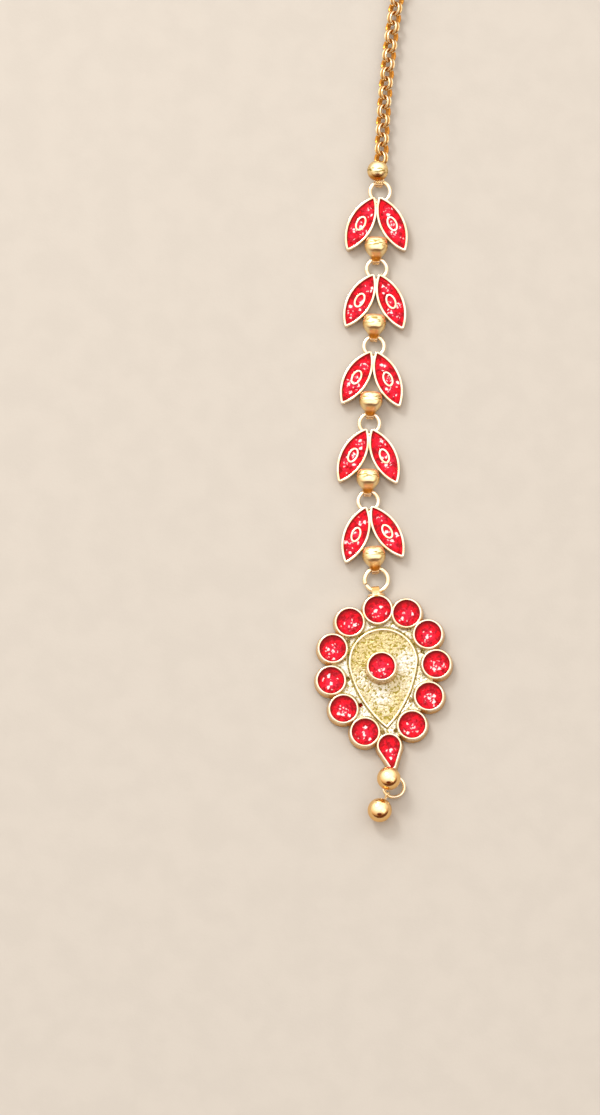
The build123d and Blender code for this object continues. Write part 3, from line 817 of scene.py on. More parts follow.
def sanded_gold(name, colour, dull, roughness):
    """The sunk field and its surround: fine grains and scattered olive pits. It is bright
    where `rubbed`, painted on the mesh, is high and duller and yellower where it is low,
    brown as painted shade in grooves, where `groove` is high, and dark red as painted
    shadow in holes, where `rubbed` is below 0."""
    finish = finish_of(name)
    rubbed, groove = finish.painted("rubbed"), finish.painted("groove")
    crumbs, grains = finish.noise(0.52, 2.0, 0.7), finish.noise(0.34, 2.0, 0.6)
    bright = (rubbed + 0.9 * finish.noise(2.4) - 0.45).step(0.15, 0.85)
    pits = 1 - (crumbs + 0.03 * bright).step(0.42, 0.48)
    olive = toned(dull, OLIVE)
    tint = finish.mix(bright, dull, colour)
    tint = finish.mix(0.6 * grains.step(0.46, 0.60), tint, dull)
    tint = finish.mix(0.95 * pits, tint, olive)
    # Painted shade: olive brown in the grooves.
    tint = finish.mix(groove, tint, olive)
    # Painted shadow: dark red in the hole and, a little, at the middle of the darker pits.
    return finish.set(
        Base_Color=finish.mix((0 - rubbed).step(0.05, 0.45), tint, HOLE_SHADOW),
        Metallic=1.0,
        Roughness=roughness + 0.2 * pits,
        Normal=finish.bump(0.75 * crumbs + 0.25 * grains, 0.28),
    )


def enamel(name, red, deep, painted_glints):
    """Glossy red enamel over a crimped ground: darker red as painted shadow where `wall`,
    painted on the mesh, is low, mottled, with a pink lift that is partly a painted sheen, and
    with painted glints, pale spots that stand in for light off the ground, where `glint` is
    high."""
    finish = finish_of(name)
    spot = finish.place()
    wall, likely = finish.painted("wall"), finish.painted("glint")
    sway = {0: finish.noise(0.35, place=spot, output="Color"), 1: (0.8 * MM,) * 3, 2: spot}
    bent = finish.node("ShaderNodeVectorMath", {"operation": "MULTIPLY_ADD"}, sway)
    clouds, crumbs = finish.noise(0.9, place=bent), finish.noise(0.42, place=bent)
    (wide, wide_tone), (near, near_tone) = (finish.grains(size, bent) for size in (1.0, 0.55))
    # Painted glints: large and small pale spots, thickest where `glint` is high.
    rare = 0.25 - 0.2 * painted_glints
    big = (wide_tone + 0.8 * likely).step(1.06 + rare, 1.12 + rare) * (1 - wide.step(0.25, 0.38))
    small = (near_tone + 0.5 * likely).step(0.96 + rare, 1.0 + rare) * (1 - near.step(0.18, 0.36))
    # Pink lift: mottled by the ground's noise, and raised as a painted sheen where glints are
    # likely.
    haze_and_sheen = (0.8 * crumbs + 0.35 * likely).step(0.42, 0.85)
    body = finish.mix(clouds.step(0.41, 0.57), toned(red, (0.42,) * 3), red)
    body = finish.mix(0.55 * haze_and_sheen, body, HAZE_AND_SHEEN)
    # Painted shadow: the red darkens against the wall, widest on the side where the shadow lies.
    body = finish.mix(wall.step(0.0, 1.0), deep, body)
    return finish.set(
        Base_Color=finish.mix(big.or_more(0.8 * small), body, PAINTED_GLINT_COLOUR),
        Metallic=0.0,
        Roughness=0.16 + 0.1 * clouds,
        IOR=1.15,
        Coat_Weight=0.12,
        Coat_Roughness=0.03,
        Normal=finish.bump(crumbs, 0.05, finish.bump(finish.noise(0.9), 0.03)),
    )


# ---------------------------------------------------------------- shapes of the castings

def cup(outline, centre, height, floor, rim=CELL_RIM, base=0.0, flare=0.0):
    """A flat-backed cup: a profile of back, outer wall, rounded rim, inner wall and floor
    carried round the pocket's outline, and gathered over its centre.

    flare is how far its foot stands out beyond its rim, where the outer wall slopes."""
    wall, crown, lap = [(rim, base)], rim, -CUP_LAP
    if flare:
        foot, shoulder = rim + flare, height - FLARE_SHOULDER
        wall = [(foot, base), (foot, FLARE_FOOT), (rim + 0.03, shoulder)]
        crown = rim - FLARE_TAPER
    corners = [(lap, base), *wall, (crown, height), (0, height), (0, floor), (lap, floor)]
    reach = [0.1] * len(corners)
    reach[-4] = reach[-3] = 0.46 * rim
    return gathered(carried(outline, soften(corners, reach, 6)), centre)


def low_wall(grid, height):
    """Shade of a cup's outer wall: 1 well below its rim, and 0 at the rim."""
    return np.clip((height - 0.2 - grid[..., 2]) / 0.45, 0, 1)


def apart(grid, spots):
    """Distance in plan from each point to a spot, or to each of a row of spots."""
    spots = np.asarray(spots)
    x, y = (grid[..., axis, None] if spots.ndim > 1 else grid[..., axis] for axis in (0, 1))
    return np.hypot(x - spots[..., 0], y - spots[..., 1])


def side_of(grid, centre, radius, power):
    """How far out a ball each point is, which sets the painted reflection on its sides:
    (distance from its upright axis / radius)^power.
    """
    return np.minimum(apart(grid, centre) / radius, 1) ** power


def wire_shade(turns=24, strength=0.4):
    """Shade round a wire: strength * |cos|^7, so high at its inner and outer side."""
    return strength * np.abs(compass(turns)[0]) ** 7


def filling(outline, centre, base, heights, radius, shadow):
    """Enamel in a pocket, with its mark of painted shadow, 0 at the wall to 1 in the open.

    The mark is depth / (radius * (0.14 + 0.46 * cos^1.5)), where cos, if above 0, is that
    of the angle between the way out to the wall and the way the shadow lies.

    It creeps up its wall by a meniscus of exp(-depth / 0.12) and is domed from one height
    to the other by 1 - (1 - s)^2, where s is how far in it is from wall to centre."""
    spots, normals = outline
    edge, top = heights
    s = np.linspace(0, 1, 26) ** 1.5
    wall = spots - normals * ENAMEL_GAP
    flat = drawn(wall, np.asarray(centre), s)
    depth = np.linalg.norm(flat - wall[:, None, :], axis=2)
    up = edge + (top - edge) * (1 - (1 - s) ** 2) + 0.07 * np.exp(-depth / 0.12)
    shaded = 0.14 + 0.46 * np.maximum(normals @ turned(1, 0, shadow), 0)[:, None] ** 1.5
    inside = np.clip(depth / (radius * shaded), 0, 1)
    grid = backed(wall, centre, base, lifted(flat, up))
    return grid, np.concatenate([np.zeros((len(wall), 2)), inside], 1)


def bead(half_across, half_along, height):
    """A dab of solder: the upper half of a ball, stretched, its lower half flattened at 0."""
    halves = np.array([half_across, half_along, height])
    dab = ball(1.0, steps=32, rows=17)[..., [0, 2, 1]] * halves
    dab[..., 2] = np.maximum(dab[..., 2], 0.02)
    return dab


def solder(shells, rows, place):
    """Adds each dab in a table of solder to the shells."""
    for along, half_across, half_along, height, shade in rows:
        dab = bead(half_across, half_along, height)
        shells.add(put(dab, place, (0, along, 0)), shade=shade)


def chain_loop():
    """A chain link about its own axis, and its shade: a band with two ridges and a groove
    between them."""
    inner, outer, half, inner_half = CHAIN_LINK.values()
    low = outer - CHAIN_GROOVE
    side = [(inner, -inner_half), (low, -half), (outer, -CHAIN_RIDGE)]
    other = [(outer, CHAIN_RIDGE), (low, half), (inner, inner_half)]
    profile = soften([*side, (low, 0.0), *other], 0.12, 4, closed=True)
    shade = np.clip((outer - 0.05 - profile[:, 0]) / 0.14, 0, 1) + bell(profile[:, 1], 0.19)
    return carried(ring_of(72), profile), np.minimum(shade, 1)


def rounded_end(share):
    """A wire's radius near its end, as a share: sqrt(1 - (1 - share of the way in)^2)."""
    return np.sqrt(np.maximum(1 - (1 - np.minimum(share, 1)) ** 2, 0))


def hook_wire():
    """The hook's wire in its own plane: shank, half circle and return, with a rounded end."""
    bend, shank, wire = HOOK["bend"], HOOK["shank"], HOOK["wire"]
    angle = np.linspace(0, np.pi, 48)
    rise = np.linspace(HOOK["eye"], shank, 24)[:-1]
    fall = np.linspace(shank, shank - HOOK["return"], 20)[1:]
    x = np.concatenate([0 * rise, bend * (np.cos(angle) - 1), 0 * fall - 2 * bend])
    y = np.concatenate([rise, shank + bend * np.sin(angle), fall])
    out = np.concatenate([0 * rise, angle, 0 * fall + np.pi])
    path = np.stack([x, y, 0 * x], 1)
    along = np.concatenate([[0], np.cumsum(np.linalg.norm(np.diff(path, axis=0), axis=1))])
    radii = wire * rounded_end((along[-1] - along) / wire)
    radii[0] = 0
    return wire_along(path, np.stack([np.cos(out), np.sin(out), 0 * out], 1), radii)


def split_ring(radius, wire, split, gap, misfit, steps=160):
    """A ring of wire cut at an angle, its two rounded ends out of line by the misfit. Its
    stations are bunched towards the ends."""
    first, last = np.radians([split + gap / 2, split + 360 - gap / 2])
    angle = first + (last - first) * ((1 - np.cos(np.linspace(0, np.pi, steps))) / 2)
    share = np.minimum(angle - first, last - angle) / (0.35 * wire / radius)
    drift = np.linspace(-1, 1, steps)
    out = np.stack([np.cos(angle), np.sin(angle), 0 * angle], 1)
    path = out * (radius + misfit * drift)[:, None]
    path[:, 2] = 0.6 * misfit * drift
    return wire_along(path, out, wire * rounded_end(share))


def from_boss(grid):
    """Distance in plan from each point to the raised cell's wall."""
    return apart(grid, BOSS) - BOSS_POCKET - CELL_RIM


def field_height(flat):
    """The sandy ground: waves, and a fillet of solder round the raised cell, which falls off
    by exp(-distance / 0.3)."""
    fillet = 0.35 * np.exp(-np.maximum(from_boss(flat), 0) / 0.3)
    return uneven(flat, FIELD_HEIGHT, FIELD_WAVES) + fillet


def pit_depths(grid):
    """How deep each pit is at each point, from 1 at its middle: exp(-(distance / 0.32)^3)."""
    return bell(apart(grid, PITS[:, :2]), 0.32, 3)


def surround_height(flat, ground):
    """The smooth metal round the field: soft waves, pits, a groove along the border, which
    is `ground` away, and fillets of solder against the walls of the cells."""
    reach = np.append(np.full(len(CELLS), CELL_POCKET), DROP_POCKET) + CELL_RIM
    away = apart(flat, np.concatenate([CELLS, [DROP_CENTRE]])) - reach
    fillet = 0.26 * bell(np.maximum(away, 0), 0.22, 1.5).max(-1)
    dents = 0.5 * pit_depths(flat).max(-1)
    groove = 0.18 * bell(ground - SURROUND_GROOVE, 0.14)
    return uneven(flat, SURROUND_HEIGHT, SURROUND_WAVES) + fillet - dents - groove


def cross(a, b):
    """The cross product of vectors in the plane."""
    return a[..., 0] * b[..., 1] - a[..., 1] * b[..., 0]


def out_to(polygon, centre, spots):
    """Where the rays from the centre through the spots leave a star-shaped polygon."""
    heading, start = (spots - centre)[:, None], (polygon - centre)[None]
    side = np.roll(start, -1, 1) - start
    slant = cross(heading, side)
    far, share = cross(start, side) / slant, cross(start, heading) / slant
    far = np.where((far > 0) & (share > -1e-6) & (share < 1 + 1e-6), far, np.inf)
    return centre + heading[:, 0] * far.min(1)[:, None]


DROP_MIDDLE = (np.array(DROP_CENTRE) * 2 + DROP_TIP) / 3
LEAF_MIDDLE = LEAF_START + turned(0, -LEAF_LENGTH / 2, LEAF_ANGLE)
LEAF_PLACES = {side: flat_frame(LEAF_MIDDLE * [side, 1], side * LEAF_ANGLE) for side in (1, -1)}


# ---------------------------------------------------------------- settings

def colour_of(name, description, *colour):
    """A setting that is a colour."""
    return FloatVectorProperty(
        name=name, description=description, subtype="COLOR", size=3, min=0, max=1, default=colour,
    )


class TikkaFinishes(bpy.types.PropertyGroup):
    """Colours and finishes of the whole piece."""

    casting: colour_of("Casting", "Plating of the castings", 0.99, 0.91, 0.77)
    wire: colour_of("Wire", "Plating of the rings", 0.99, 0.89, 0.70)
    chain: colour_of("Chain", "Plating of the chain's loops", 1.0, 0.97, 0.72)
    hook: colour_of("Hook", "Plating of the hook", 0.99, 0.87, 0.58)
    balls: colour_of("Link balls", "Plating of the balls between the links", 1.0, 0.98, 0.68)
    drops: colour_of("Drops", "Plating of the two balls that hang at the tip", 1.0, 0.92, 0.66)
    # Field is the sandy field's colour where it is brightest, in broad patches; Dull field is its
    # colour elsewhere.
    field: colour_of(
        "Field", "Plating of the sandy field where it is rubbed bright", 0.70, 0.69, 0.64
    )
    dull: colour_of(
        "Dull field", "Plating of the sandy field where it is dull", 0.54, 0.445, 0.225
    )
    red: colour_of("Enamel", "Enamel in the open", 0.72, 0.001, 0.010)
    # Deep enamel is the red of the painted shadow against the pockets' walls.
    deep: colour_of("Deep enamel", "Enamel against its walls", 0.27, 0.0, 0.002)
    polish: FloatProperty(
        name="Roughness", description="Roughness of polished plating",
        subtype="FACTOR", min=0, max=1, default=0.14,
    )
    # How many painted glints, pale spots that stand in for light off the crimped ground, the
    # enamel shows.
    painted_glints: FloatProperty(
        name="Flecks", description="How many pale flecks the enamel shows",
        subtype="FACTOR", min=0, max=1, default=0.5,
    )


class TikkaShapes(bpy.types.PropertyGroup):
    """Small sizes that only the looks have, in millimetres."""

    seam: FloatProperty(
        name="Seam", description="Depth of a ball's seam", min=0, max=0.1, default=0.03,
    )
    misfit: FloatProperty(
        name="Ring misfit", description="How far the jump ring's ends are out of line",
        min=0, max=0.2, default=0.07,
    )


class TikkaStage(bpy.types.PropertyGroup):
    """Floor, lights and camera."""

    floor: colour_of("Floor", "Colour of the floor", 0.50, 0.475, 0.44)
    key: FloatProperty(
        name="Key light", description="Power of the key light",
        subtype="POWER", unit="POWER", min=0, default=2.6,
    )
    elevation: FloatProperty(
        name="Camera height", description="Angle of the camera above the floor",
        subtype="ANGLE", unit="ROTATION", min=0, max=float(np.pi / 2),
        default=float(np.radians(80)),
    )
    distance: FloatProperty(
        name="Camera distance", description="From the middle of the view to the camera",
        subtype="DISTANCE", unit="LENGTH", min=0.1, default=4.0,
    )


# ---------------------------------------------------------------- pieces

def cast_gold(name, looks):
    """The finish of the castings."""
    return gold(name, looks.casting, looks.polish, grain=0.004, waviness=0.03)


def chain_gold(name, looks):
    """The finish of the chain's loops."""
    roughness = looks.polish * 0.8
    return gold(name, looks.chain, roughness, grain=0.004, waviness=0.02, shaded=CHAIN_SHADED)


def glaze(node, red, filled, place, glint, at=(0, 0, 0)):
    """The enamel of one pocket, in place of its node."""
    grid, inside = filled
    shells = Shells().add(put(grid, place, at), wall=inside, glint=glint)
    shells.piece(f"{node}_glaze", red, "red_enamel", node)


class TIKKA_OT_links(bpy.types.Operator):
    """Five leaf links: ring, two leaf cups with ovals, solder, strap, and a ball each."""

    bl_idname = "tikka.links"
    bl_label = "Leaf links"

    def execute(self, context):
        looks = context.scene.tikka_finishes
        casting = cast_gold("Link casting", looks)
        polished = streaked_gold("Link ball", looks.balls, looks.polish + 0.12)
        leaf = cup(leaf_outline(), (0, 0), LEAF_HEIGHT, LEAF_FLOOR, LEAF_RIM)
        wall = bar((-OVAL_WALL, LEAF_FLOOR), (OVAL_LAP, OVAL_TOP), reach=0.07, steps=6)
        oval_wall = carried(oval(*OVAL_HALF), wall)
        ring, strap = torus(RING_RADIUS, RING_WIRE), band(-STRAP_START, -STRAP_END, **STRAP)
        shade = wire_shade()
        head = bulb(BULB, power=0.8)
        marks = {
            "belt": bell(head[..., 1] - BULB_BELT, 0.75, 4),
            "shade": bell(head[..., 1] - BULB_FOOT, 0.42, 4),
            # Painted reflection: deeper, more orange gold towards the ball's sides.
            "side": side_of(head * [1, 0.8, 1], BULB_MIDDLE, 2.2, power=1.7),
        }
        for number, (apex, (turn, aside, _)) in enumerate(zip(APEXES, LINKS), start=1):
            node, place = f"leaf_link_{number}", flat_frame(apex, turn)
            link = Shells()
            link.add(put(ring, place, (aside, RING_RISE, RING_HEIGHT)), closed=True, shade=shade)
            for leaf_place in LEAF_PLACES.values():
                link.add(put(put(leaf, leaf_place), place), shade=low_wall(leaf, LEAF_HEIGHT))
                link.add(put(put(oval_wall, leaf_place), place), closed=True)
            solder(link, LINK_SOLDER, place)
            link.add(put(strap, place), closed=True, shade=0.5)
            link.piece(f"{node}_casting", casting, "gold_casting", node)
            link_ball = Shells().add(put(head, place), **marks)
            link_ball.piece(f"{node}_ball", polished, "gold_ball", node)
        return {"FINISHED"}


class TIKKA_OT_leaf_enamel(bpy.types.Operator):
    """The enamel of the ten leaves."""

    bl_idname = "tikka.leaf_enamel"
    bl_label = "Leaf enamel"

    def execute(self, context):
        looks = context.scene.tikka_finishes
        red = enamel("Leaf enamel", looks.red, looks.deep, looks.painted_glints)
        for number, (apex, (turn, _, _)) in enumerate(zip(APEXES, LINKS), start=1):
            for name, side in (("right", 1), ("left", -1)):
                pocket = leaf_outline(), (0, 0), LEAF_FLOOR, LEAF_FILL, LEAF_REACH
                grid, inside = filling(*pocket, LEAF_SHADOW[side])
                filled = put(grid, LEAF_PLACES[side]), inside
                # Painted glints, strewn thinly and gathered in bells about the leaf and its oval.
                glint = LEAF_STREWN + spots_of(grid, LEAF_GLINT_SPOTS)
                glaze(f"leaf_enamel_{number}_{name}", red, filled, flat_frame(apex, turn), glint)
        return {"FINISHED"}


class TIKKA_OT_connector(bpy.types.Operator):
    """The top connector: its ball, neck and strap, and the chain's first loop."""

    bl_idname = "tikka.connector"
    bl_label = "Top connector"

    def execute(self, context):
        looks = context.scene.tikka_finishes
        polished = streaked_gold("Connector ball", looks.balls, looks.polish + 0.05)
        casting = cast_gold("Connector strap", looks)
        loop_gold = chain_gold("Chain loop", looks)
        node, place = "top_connector", flat_frame(CONNECTOR_SPOT, CONNECTOR["turn"])
        sphere = ball(CONNECTOR["radius"], context.scene.tikka_shapes.seam)
        marks = {
            "belt": bell(sphere[..., 1] + 0.1, 0.5, 4),
            "shade": np.clip((-0.9 - sphere[..., 1]) / 0.5, 0, 1),
            # Painted reflection: deeper, more orange gold towards the ball's sides.
            "side": side_of(sphere, (0, 0), CONNECTOR["radius"], power=2.2),
        }
        middle = (*CONNECTOR_SWUNG, CONNECTOR["height"])
        shell = Shells().add(put(sphere, place, middle), **marks)
        shell.piece(f"{node}_ball", polished, "gold_ball", node)
        end = SEAT_DROP - STRAP_END - CONNECTOR["seat"]
        strap = band(-CONNECTOR_STRAP_START, end, **STRAP)
        neck = Shells().add(put(bulb(CONNECTOR_NECK, steps=40), place))
        neck.add(put(strap, place), closed=True, shade=0.5)
        neck.piece(f"{node}_strap", casting, "gold_casting", node)
        loop, shade = chain_loop()
        first = Shells().add(put(loop, chain_frame(0)), closed=True, shade=shade)
        first.piece(f"{node}_loop", loop_gold, "gold_chain", node)
        return {"FINISHED"}


class TIKKA_OT_chain(bpy.types.Operator):
    """The chain's eighteen round links."""

    bl_idname = "tikka.chain"
    bl_label = "Chain"

    def execute(self, context):
        links = Shells()
        loop, shade = chain_loop()
        for number in range(1, CHAIN_COUNT + 1):
            links.add(put(loop, chain_frame(number)), closed=True, shade=shade)
        finish = chain_gold("Chain", context.scene.tikka_finishes)
        links.piece("chain_links", finish, "gold_chain", "chain")
        return {"FINISHED"}


class TIKKA_OT_hook(bpy.types.Operator):
    """The hair hook: an eye and a bent wire."""

    bl_idname = "tikka.hook"
    bl_label = "Hair hook"

    def execute(self, context):
        looks = context.scene.tikka_finishes
        last = CHAIN_COUNT + 1
        eye = put(torus(HOOK["eye"], HOOK["wire"]), chain_frame(last))
        wire = put(hook_wire(), tilted(chain_frame(last, 0), -HOOK["slope"], 0))
        hook = Shells().add(eye, closed=True).add(wire, around=False, closed=True)
        finish = gold("Hook wire", looks.hook, looks.polish, grain=0.003, waviness=0.01)
        hook.piece("hair_hook_wire", finish, "gold_wire", "hair_hook")
        return {"FINISHED"}


class TIKKA_OT_jump_ring(bpy.types.Operator):
    """The cut ring between the last leaf link and the pendant."""

    bl_idname = "tikka.jump_ring"
    bl_label = "Jump ring"

    def execute(self, context):
        looks, misfit = context.scene.tikka_finishes, context.scene.tikka_shapes.misfit
        radius = JUMP["radius"] + SPRUNG
        wire = split_ring(radius, JUMP["wire"], JUMP["split"], JUMP["gap"], misfit)
        wire = put(wire, flat_frame(JUMP_SPOT, 0, RING_HEIGHT))
        ring = Shells().add(wire, around=False, closed=True, shade=wire_shade(turns=20))
        finish = gold("Jump ring wire", looks.wire, looks.polish, grain=0.003, waviness=0.015)
        ring.piece("pendant_ring_wire", finish, "gold_wire", "pendant_ring")
        return {"FINISHED"}


class TIKKA_OT_pendant(bpy.types.Operator):
    """The pendant's casting: cups, raised cup, field, border, surround, bail and eye."""

    bl_idname = "tikka.pendant"
    bl_label = "Pendant"

    def execute(self, context):
        looks = context.scene.tikka_finishes
        casting = cast_gold("Pendant casting", looks)
        smooth, sandy = (
            sanded_gold(name, looks.field, looks.dull, roughness)
            for name, roughness in (("Surround", 0.30), ("Sandy field", 0.38))
        )
        edge = field_outline()
        for part, shells, finish in (
            ("cells", self.cups(edge), casting),
            ("field", self.field(edge[0]), sandy),
            ("surround", self.surround(edge[0]), smooth),
        ):
            shells.piece(f"pendant_frame_{part}", finish, "gold_casting", "pendant_frame")
        return {"FINISHED"}

    def cups(self, edge):
        """Every cup, the top one's rim dark under the bail, the bail with its solder, the eye
        at the tip, and the border's ridge."""
        cups = Shells()
        shell = cup(ring_of(radius=CELL_POCKET), (0, 0), CELL_HEIGHT, CELL_FLOOR, flare=CELL_FLARE)
        for spot in CELLS:
            moved = shell + np.array([*spot, 0])
            # Painted shade: the top cup's rim darkened in a small notch under the bail.
            seam = bell(moved[..., 0], 0.4, 4) * bell(moved[..., 1] - BAIL_NOTCH_SHADE, 0.3, 4)
            cups.add(put(moved, PENDANT), shade=np.maximum(low_wall(moved, CELL_HEIGHT), seam))
        drop = cup(drop_outline(), DROP_MIDDLE, CELL_HEIGHT, CELL_FLOOR, flare=CELL_FLARE)
        cups.add(put(drop, PENDANT), shade=low_wall(drop, CELL_HEIGHT))
        circle = ring_of(radius=BOSS_POCKET)
        raised = cup(circle, (0, 0), BOSS_HEIGHT, BOSS_FLOOR, CELL_RIM, BOSS_BASE, BOSS_FLARE)
        cups.add(put(raised, PENDANT, (*BOSS, 0)), shade=0.6 * low_wall(raised, BOSS_HEIGHT))
        bail = band(BAIL_START, BAIL_TOP, **STRAP)
        # Painted shade over the bail's fold.
        fold = np.clip((bail[..., 1] - BAIL_SHADE) / 0.3, 0, 0.9)
        cups.add(put(bail, PENDANT), closed=True, shade=fold)
        solder(cups, BAIL_SOLDER, PENDANT)
        eye = band(DROP_TIP[1] - TIP_EYE_LAP, -TIP_EYE_END, across=DROP_TIP[0], **TIP_EYE)
        cups.add(put(eye, PENDANT), closed=True, shade=0.6)
        half, foot, top = BORDER_HALF, BORDER_FOOT, BORDER_TOP
        ridge = [(-half, foot), (-half, top), (half, top), (half, foot)]
        ridge = carried(edge, soften(ridge, reach=0.09, steps=5, closed=True))
        return cups.add(put(ridge, PENDANT), closed=True)

    def field(self, edge):
        """Rings drawn from the field's edge to its centre, with a flat back."""
        flat = drawn(edge, FIELD_CENTRE, np.linspace(0, 1, 70))
        grid = backed(edge, FIELD_CENTRE, FIELD_BACK, lifted(flat, field_height(flat)))
        inward = np.linalg.norm(grid - grid[:, 1:2], axis=2)
        # Painted shade along the field's edge under the border's ridge and round the raised cell.
        groove = 0.85 * bell(inward - FIELD_GROOVE, 0.24) + 0.9 * bell(from_boss(grid), 0.35)
        # The field is brighter in broad patches: right of its middle, below it and, fainter, to
        # the left.
        groove, rubbed = np.minimum(groove, 1), 0.08 + spots_of(grid, FIELD_BRIGHT_PATCHES)
        return Shells().add(put(grid, PENDANT), rubbed=rubbed, groove=groove)

    def surround(self, edge):
        """Rows from the field's edge out to the cells' centres, closed by a flat back at 0."""
        centres = np.concatenate([CELLS[:6], [DROP_CENTRE], CELLS[6:]])
        flat = drawn(edge, out_to(centres, FIELD_CENTRE, edge), np.linspace(0, 1, 60))
        ground = np.linalg.norm(flat - edge[:, None, :], axis=2)
        face = lifted(flat, surround_height(flat, ground))
        grid = np.concatenate([face, face[:, [-1, 0]] * [1, 1, 0]], 1)
        outward = np.linalg.norm((grid - grid[:, :1])[..., :2], axis=2)
        foot = np.maximum(apart(grid, CELLS) - CELL_POCKET - CELL_RIM - 0.1, 0).min(-1)
        # Painted shade in the groove along the border and round the feet of the cells.
        groove = 0.9 * bell(outward - SURROUND_GROOVE, 0.17) + 0.6 * bell(foot, 0.22)
        # Painted shade: darker and duller in each pit, down to the painted shadow in the hole.
        groove, rubbed = np.minimum(groove, 1), 0.8 - (pit_depths(grid) * PITS[:, 2]).max(-1)
        return Shells().add(put(grid, PENDANT), closed=True, rubbed=rubbed, groove=groove)


class TIKKA_OT_pendant_enamel(bpy.types.Operator):
    """The enamel of the round cells, the raised cell and the drop cell."""

    bl_idname = "tikka.pendant_enamel"
    bl_label = "Pendant enamel"

    def execute(self, context):
        looks = context.scene.tikka_finishes
        red = enamel("Cell enamel", looks.red, looks.deep, looks.painted_glints)
        cell = ring_of(radius=CELL_POCKET), (0, 0), CELL_FLOOR, CELL_FILL, CELL_POCKET
        boss = ring_of(radius=BOSS_POCKET), (0, 0), BOSS_FLOOR, BOSS_FILL, BOSS_POCKET
        drop = drop_outline(), DROP_MIDDLE, CELL_FLOOR, DROP_FILL, DROP_POCKET
        for number, spot in enumerate(CELLS, start=1):
            self.fill(f"cell_enamel_{number}", red, cell, spot)
        self.fill("boss_enamel", red, boss, BOSS, BOSS_STREWN)
        self.fill("drop_enamel", red, drop)
        return {"FINISHED"}

    def fill(self, node, red, pocket, spot=(0, 0), strewn=CELL_STREWN):
        """A pocket's enamel, its painted glints gathered a little below its middle and a few all
        round.
        """
        grid, inside = filling(*pocket, CELL_SHADOW)
        middle = grid[:, -1].mean(0)
        painted_glints = strewn + spots_of(grid, [(middle[0], middle[1] - 0.4, 1.25, 0.85)])
        glaze(node, red, (grid, inside), PENDANT, painted_glints, (*spot, 0))


class TIKKA_OT_drops(bpy.types.Operator):
    """The tip ring and the two balls that hang in it."""

    bl_idname = "tikka.drops"
    bl_label = "Ring and ball drops"

    def execute(self, context):
        looks = context.scene.tikka_finishes
        wire_gold = gold("Tip ring wire", looks.wire, looks.polish, grain=0.003, waviness=0.01)
        polished = streaked_gold("Drop", looks.drops, looks.polish * 0.5)
        ring = torus(TIP_RING["radius"], TIP_RING["wire"])
        ring = put(ring, flat_frame(TIP_SPOT, 0, TIP_RING["height"]))
        ring = Shells().add(ring, closed=True, shade=wire_shade())
        ring.piece("tip_ring_wire", wire_gold, "gold_wire", "tip_ring")
        for name, drop in DROPS.items():
            node, radius, loop_radius = f"{name}_ball", drop["radius"], drop["loop_radius"]
            loop_spot = TIP_SPOT + turned(TIP_RING["radius"], 0, drop["loop_angle"])
            spot = TIP_SPOT + turned(*drop["offset"]) + drop["swung"]
            centre = np.array([*spot, drop["height"]])
            target = np.array([*loop_spot, drop["loop_height"]])
            facing = self.facing(centre, target)
            shell = put(ball(radius, context.scene.tikka_shapes.seam), facing)
            # Painted reflection: the ball turns deeper, more orange gold towards its sides.
            shells = Shells().add(shell, side=side_of(shell, centre, radius, power=1.1))
            shells.piece(f"{node}_shell", polished, "gold_ball", node)
            loop = Shells()
            if drop["capped"]:
                stem_end = np.linalg.norm(target - centre) - loop_radius
                loop.add(put(self.cap(radius, stem_end), facing))
            across = tilted(flat_frame(loop_spot, drop["loop_angle"], drop["loop_height"]), 90, 0)
            wire = torus(loop_radius, DROP_LOOP_WIRE, steps=64, turns=16)
            loop.add(put(wire, across), closed=True)
            loop.piece(f"{node}_loop", wire_gold, "gold_wire", node)
        return {"FINISHED"}

    def facing(self, centre, target):
        """A place at the centre whose Y axis points at the target."""
        y = (target - centre) / np.linalg.norm(target - centre)
        x = np.cross(y, [0.0, 0.0, 1.0])
        x = x / np.linalg.norm(x)
        return centre, np.array([x, y, np.cross(x, y)])

    def cap(self, radius, end):
        """A ball's small cap and the stem that runs up to its loop, turned about Y."""
        cap = [(0, radius - 0.4), (CAP_RADIUS, radius - 0.35), (CAP_RADIUS - 0.03, radius + 0.12)]
        stem = [(STEM_RADIUS, radius + 0.17), (STEM_RADIUS, end), (0, end)]
        return carried(ring_of(48), soften(cap + stem, reach=0.07, steps=5))[..., [0, 2, 1]]


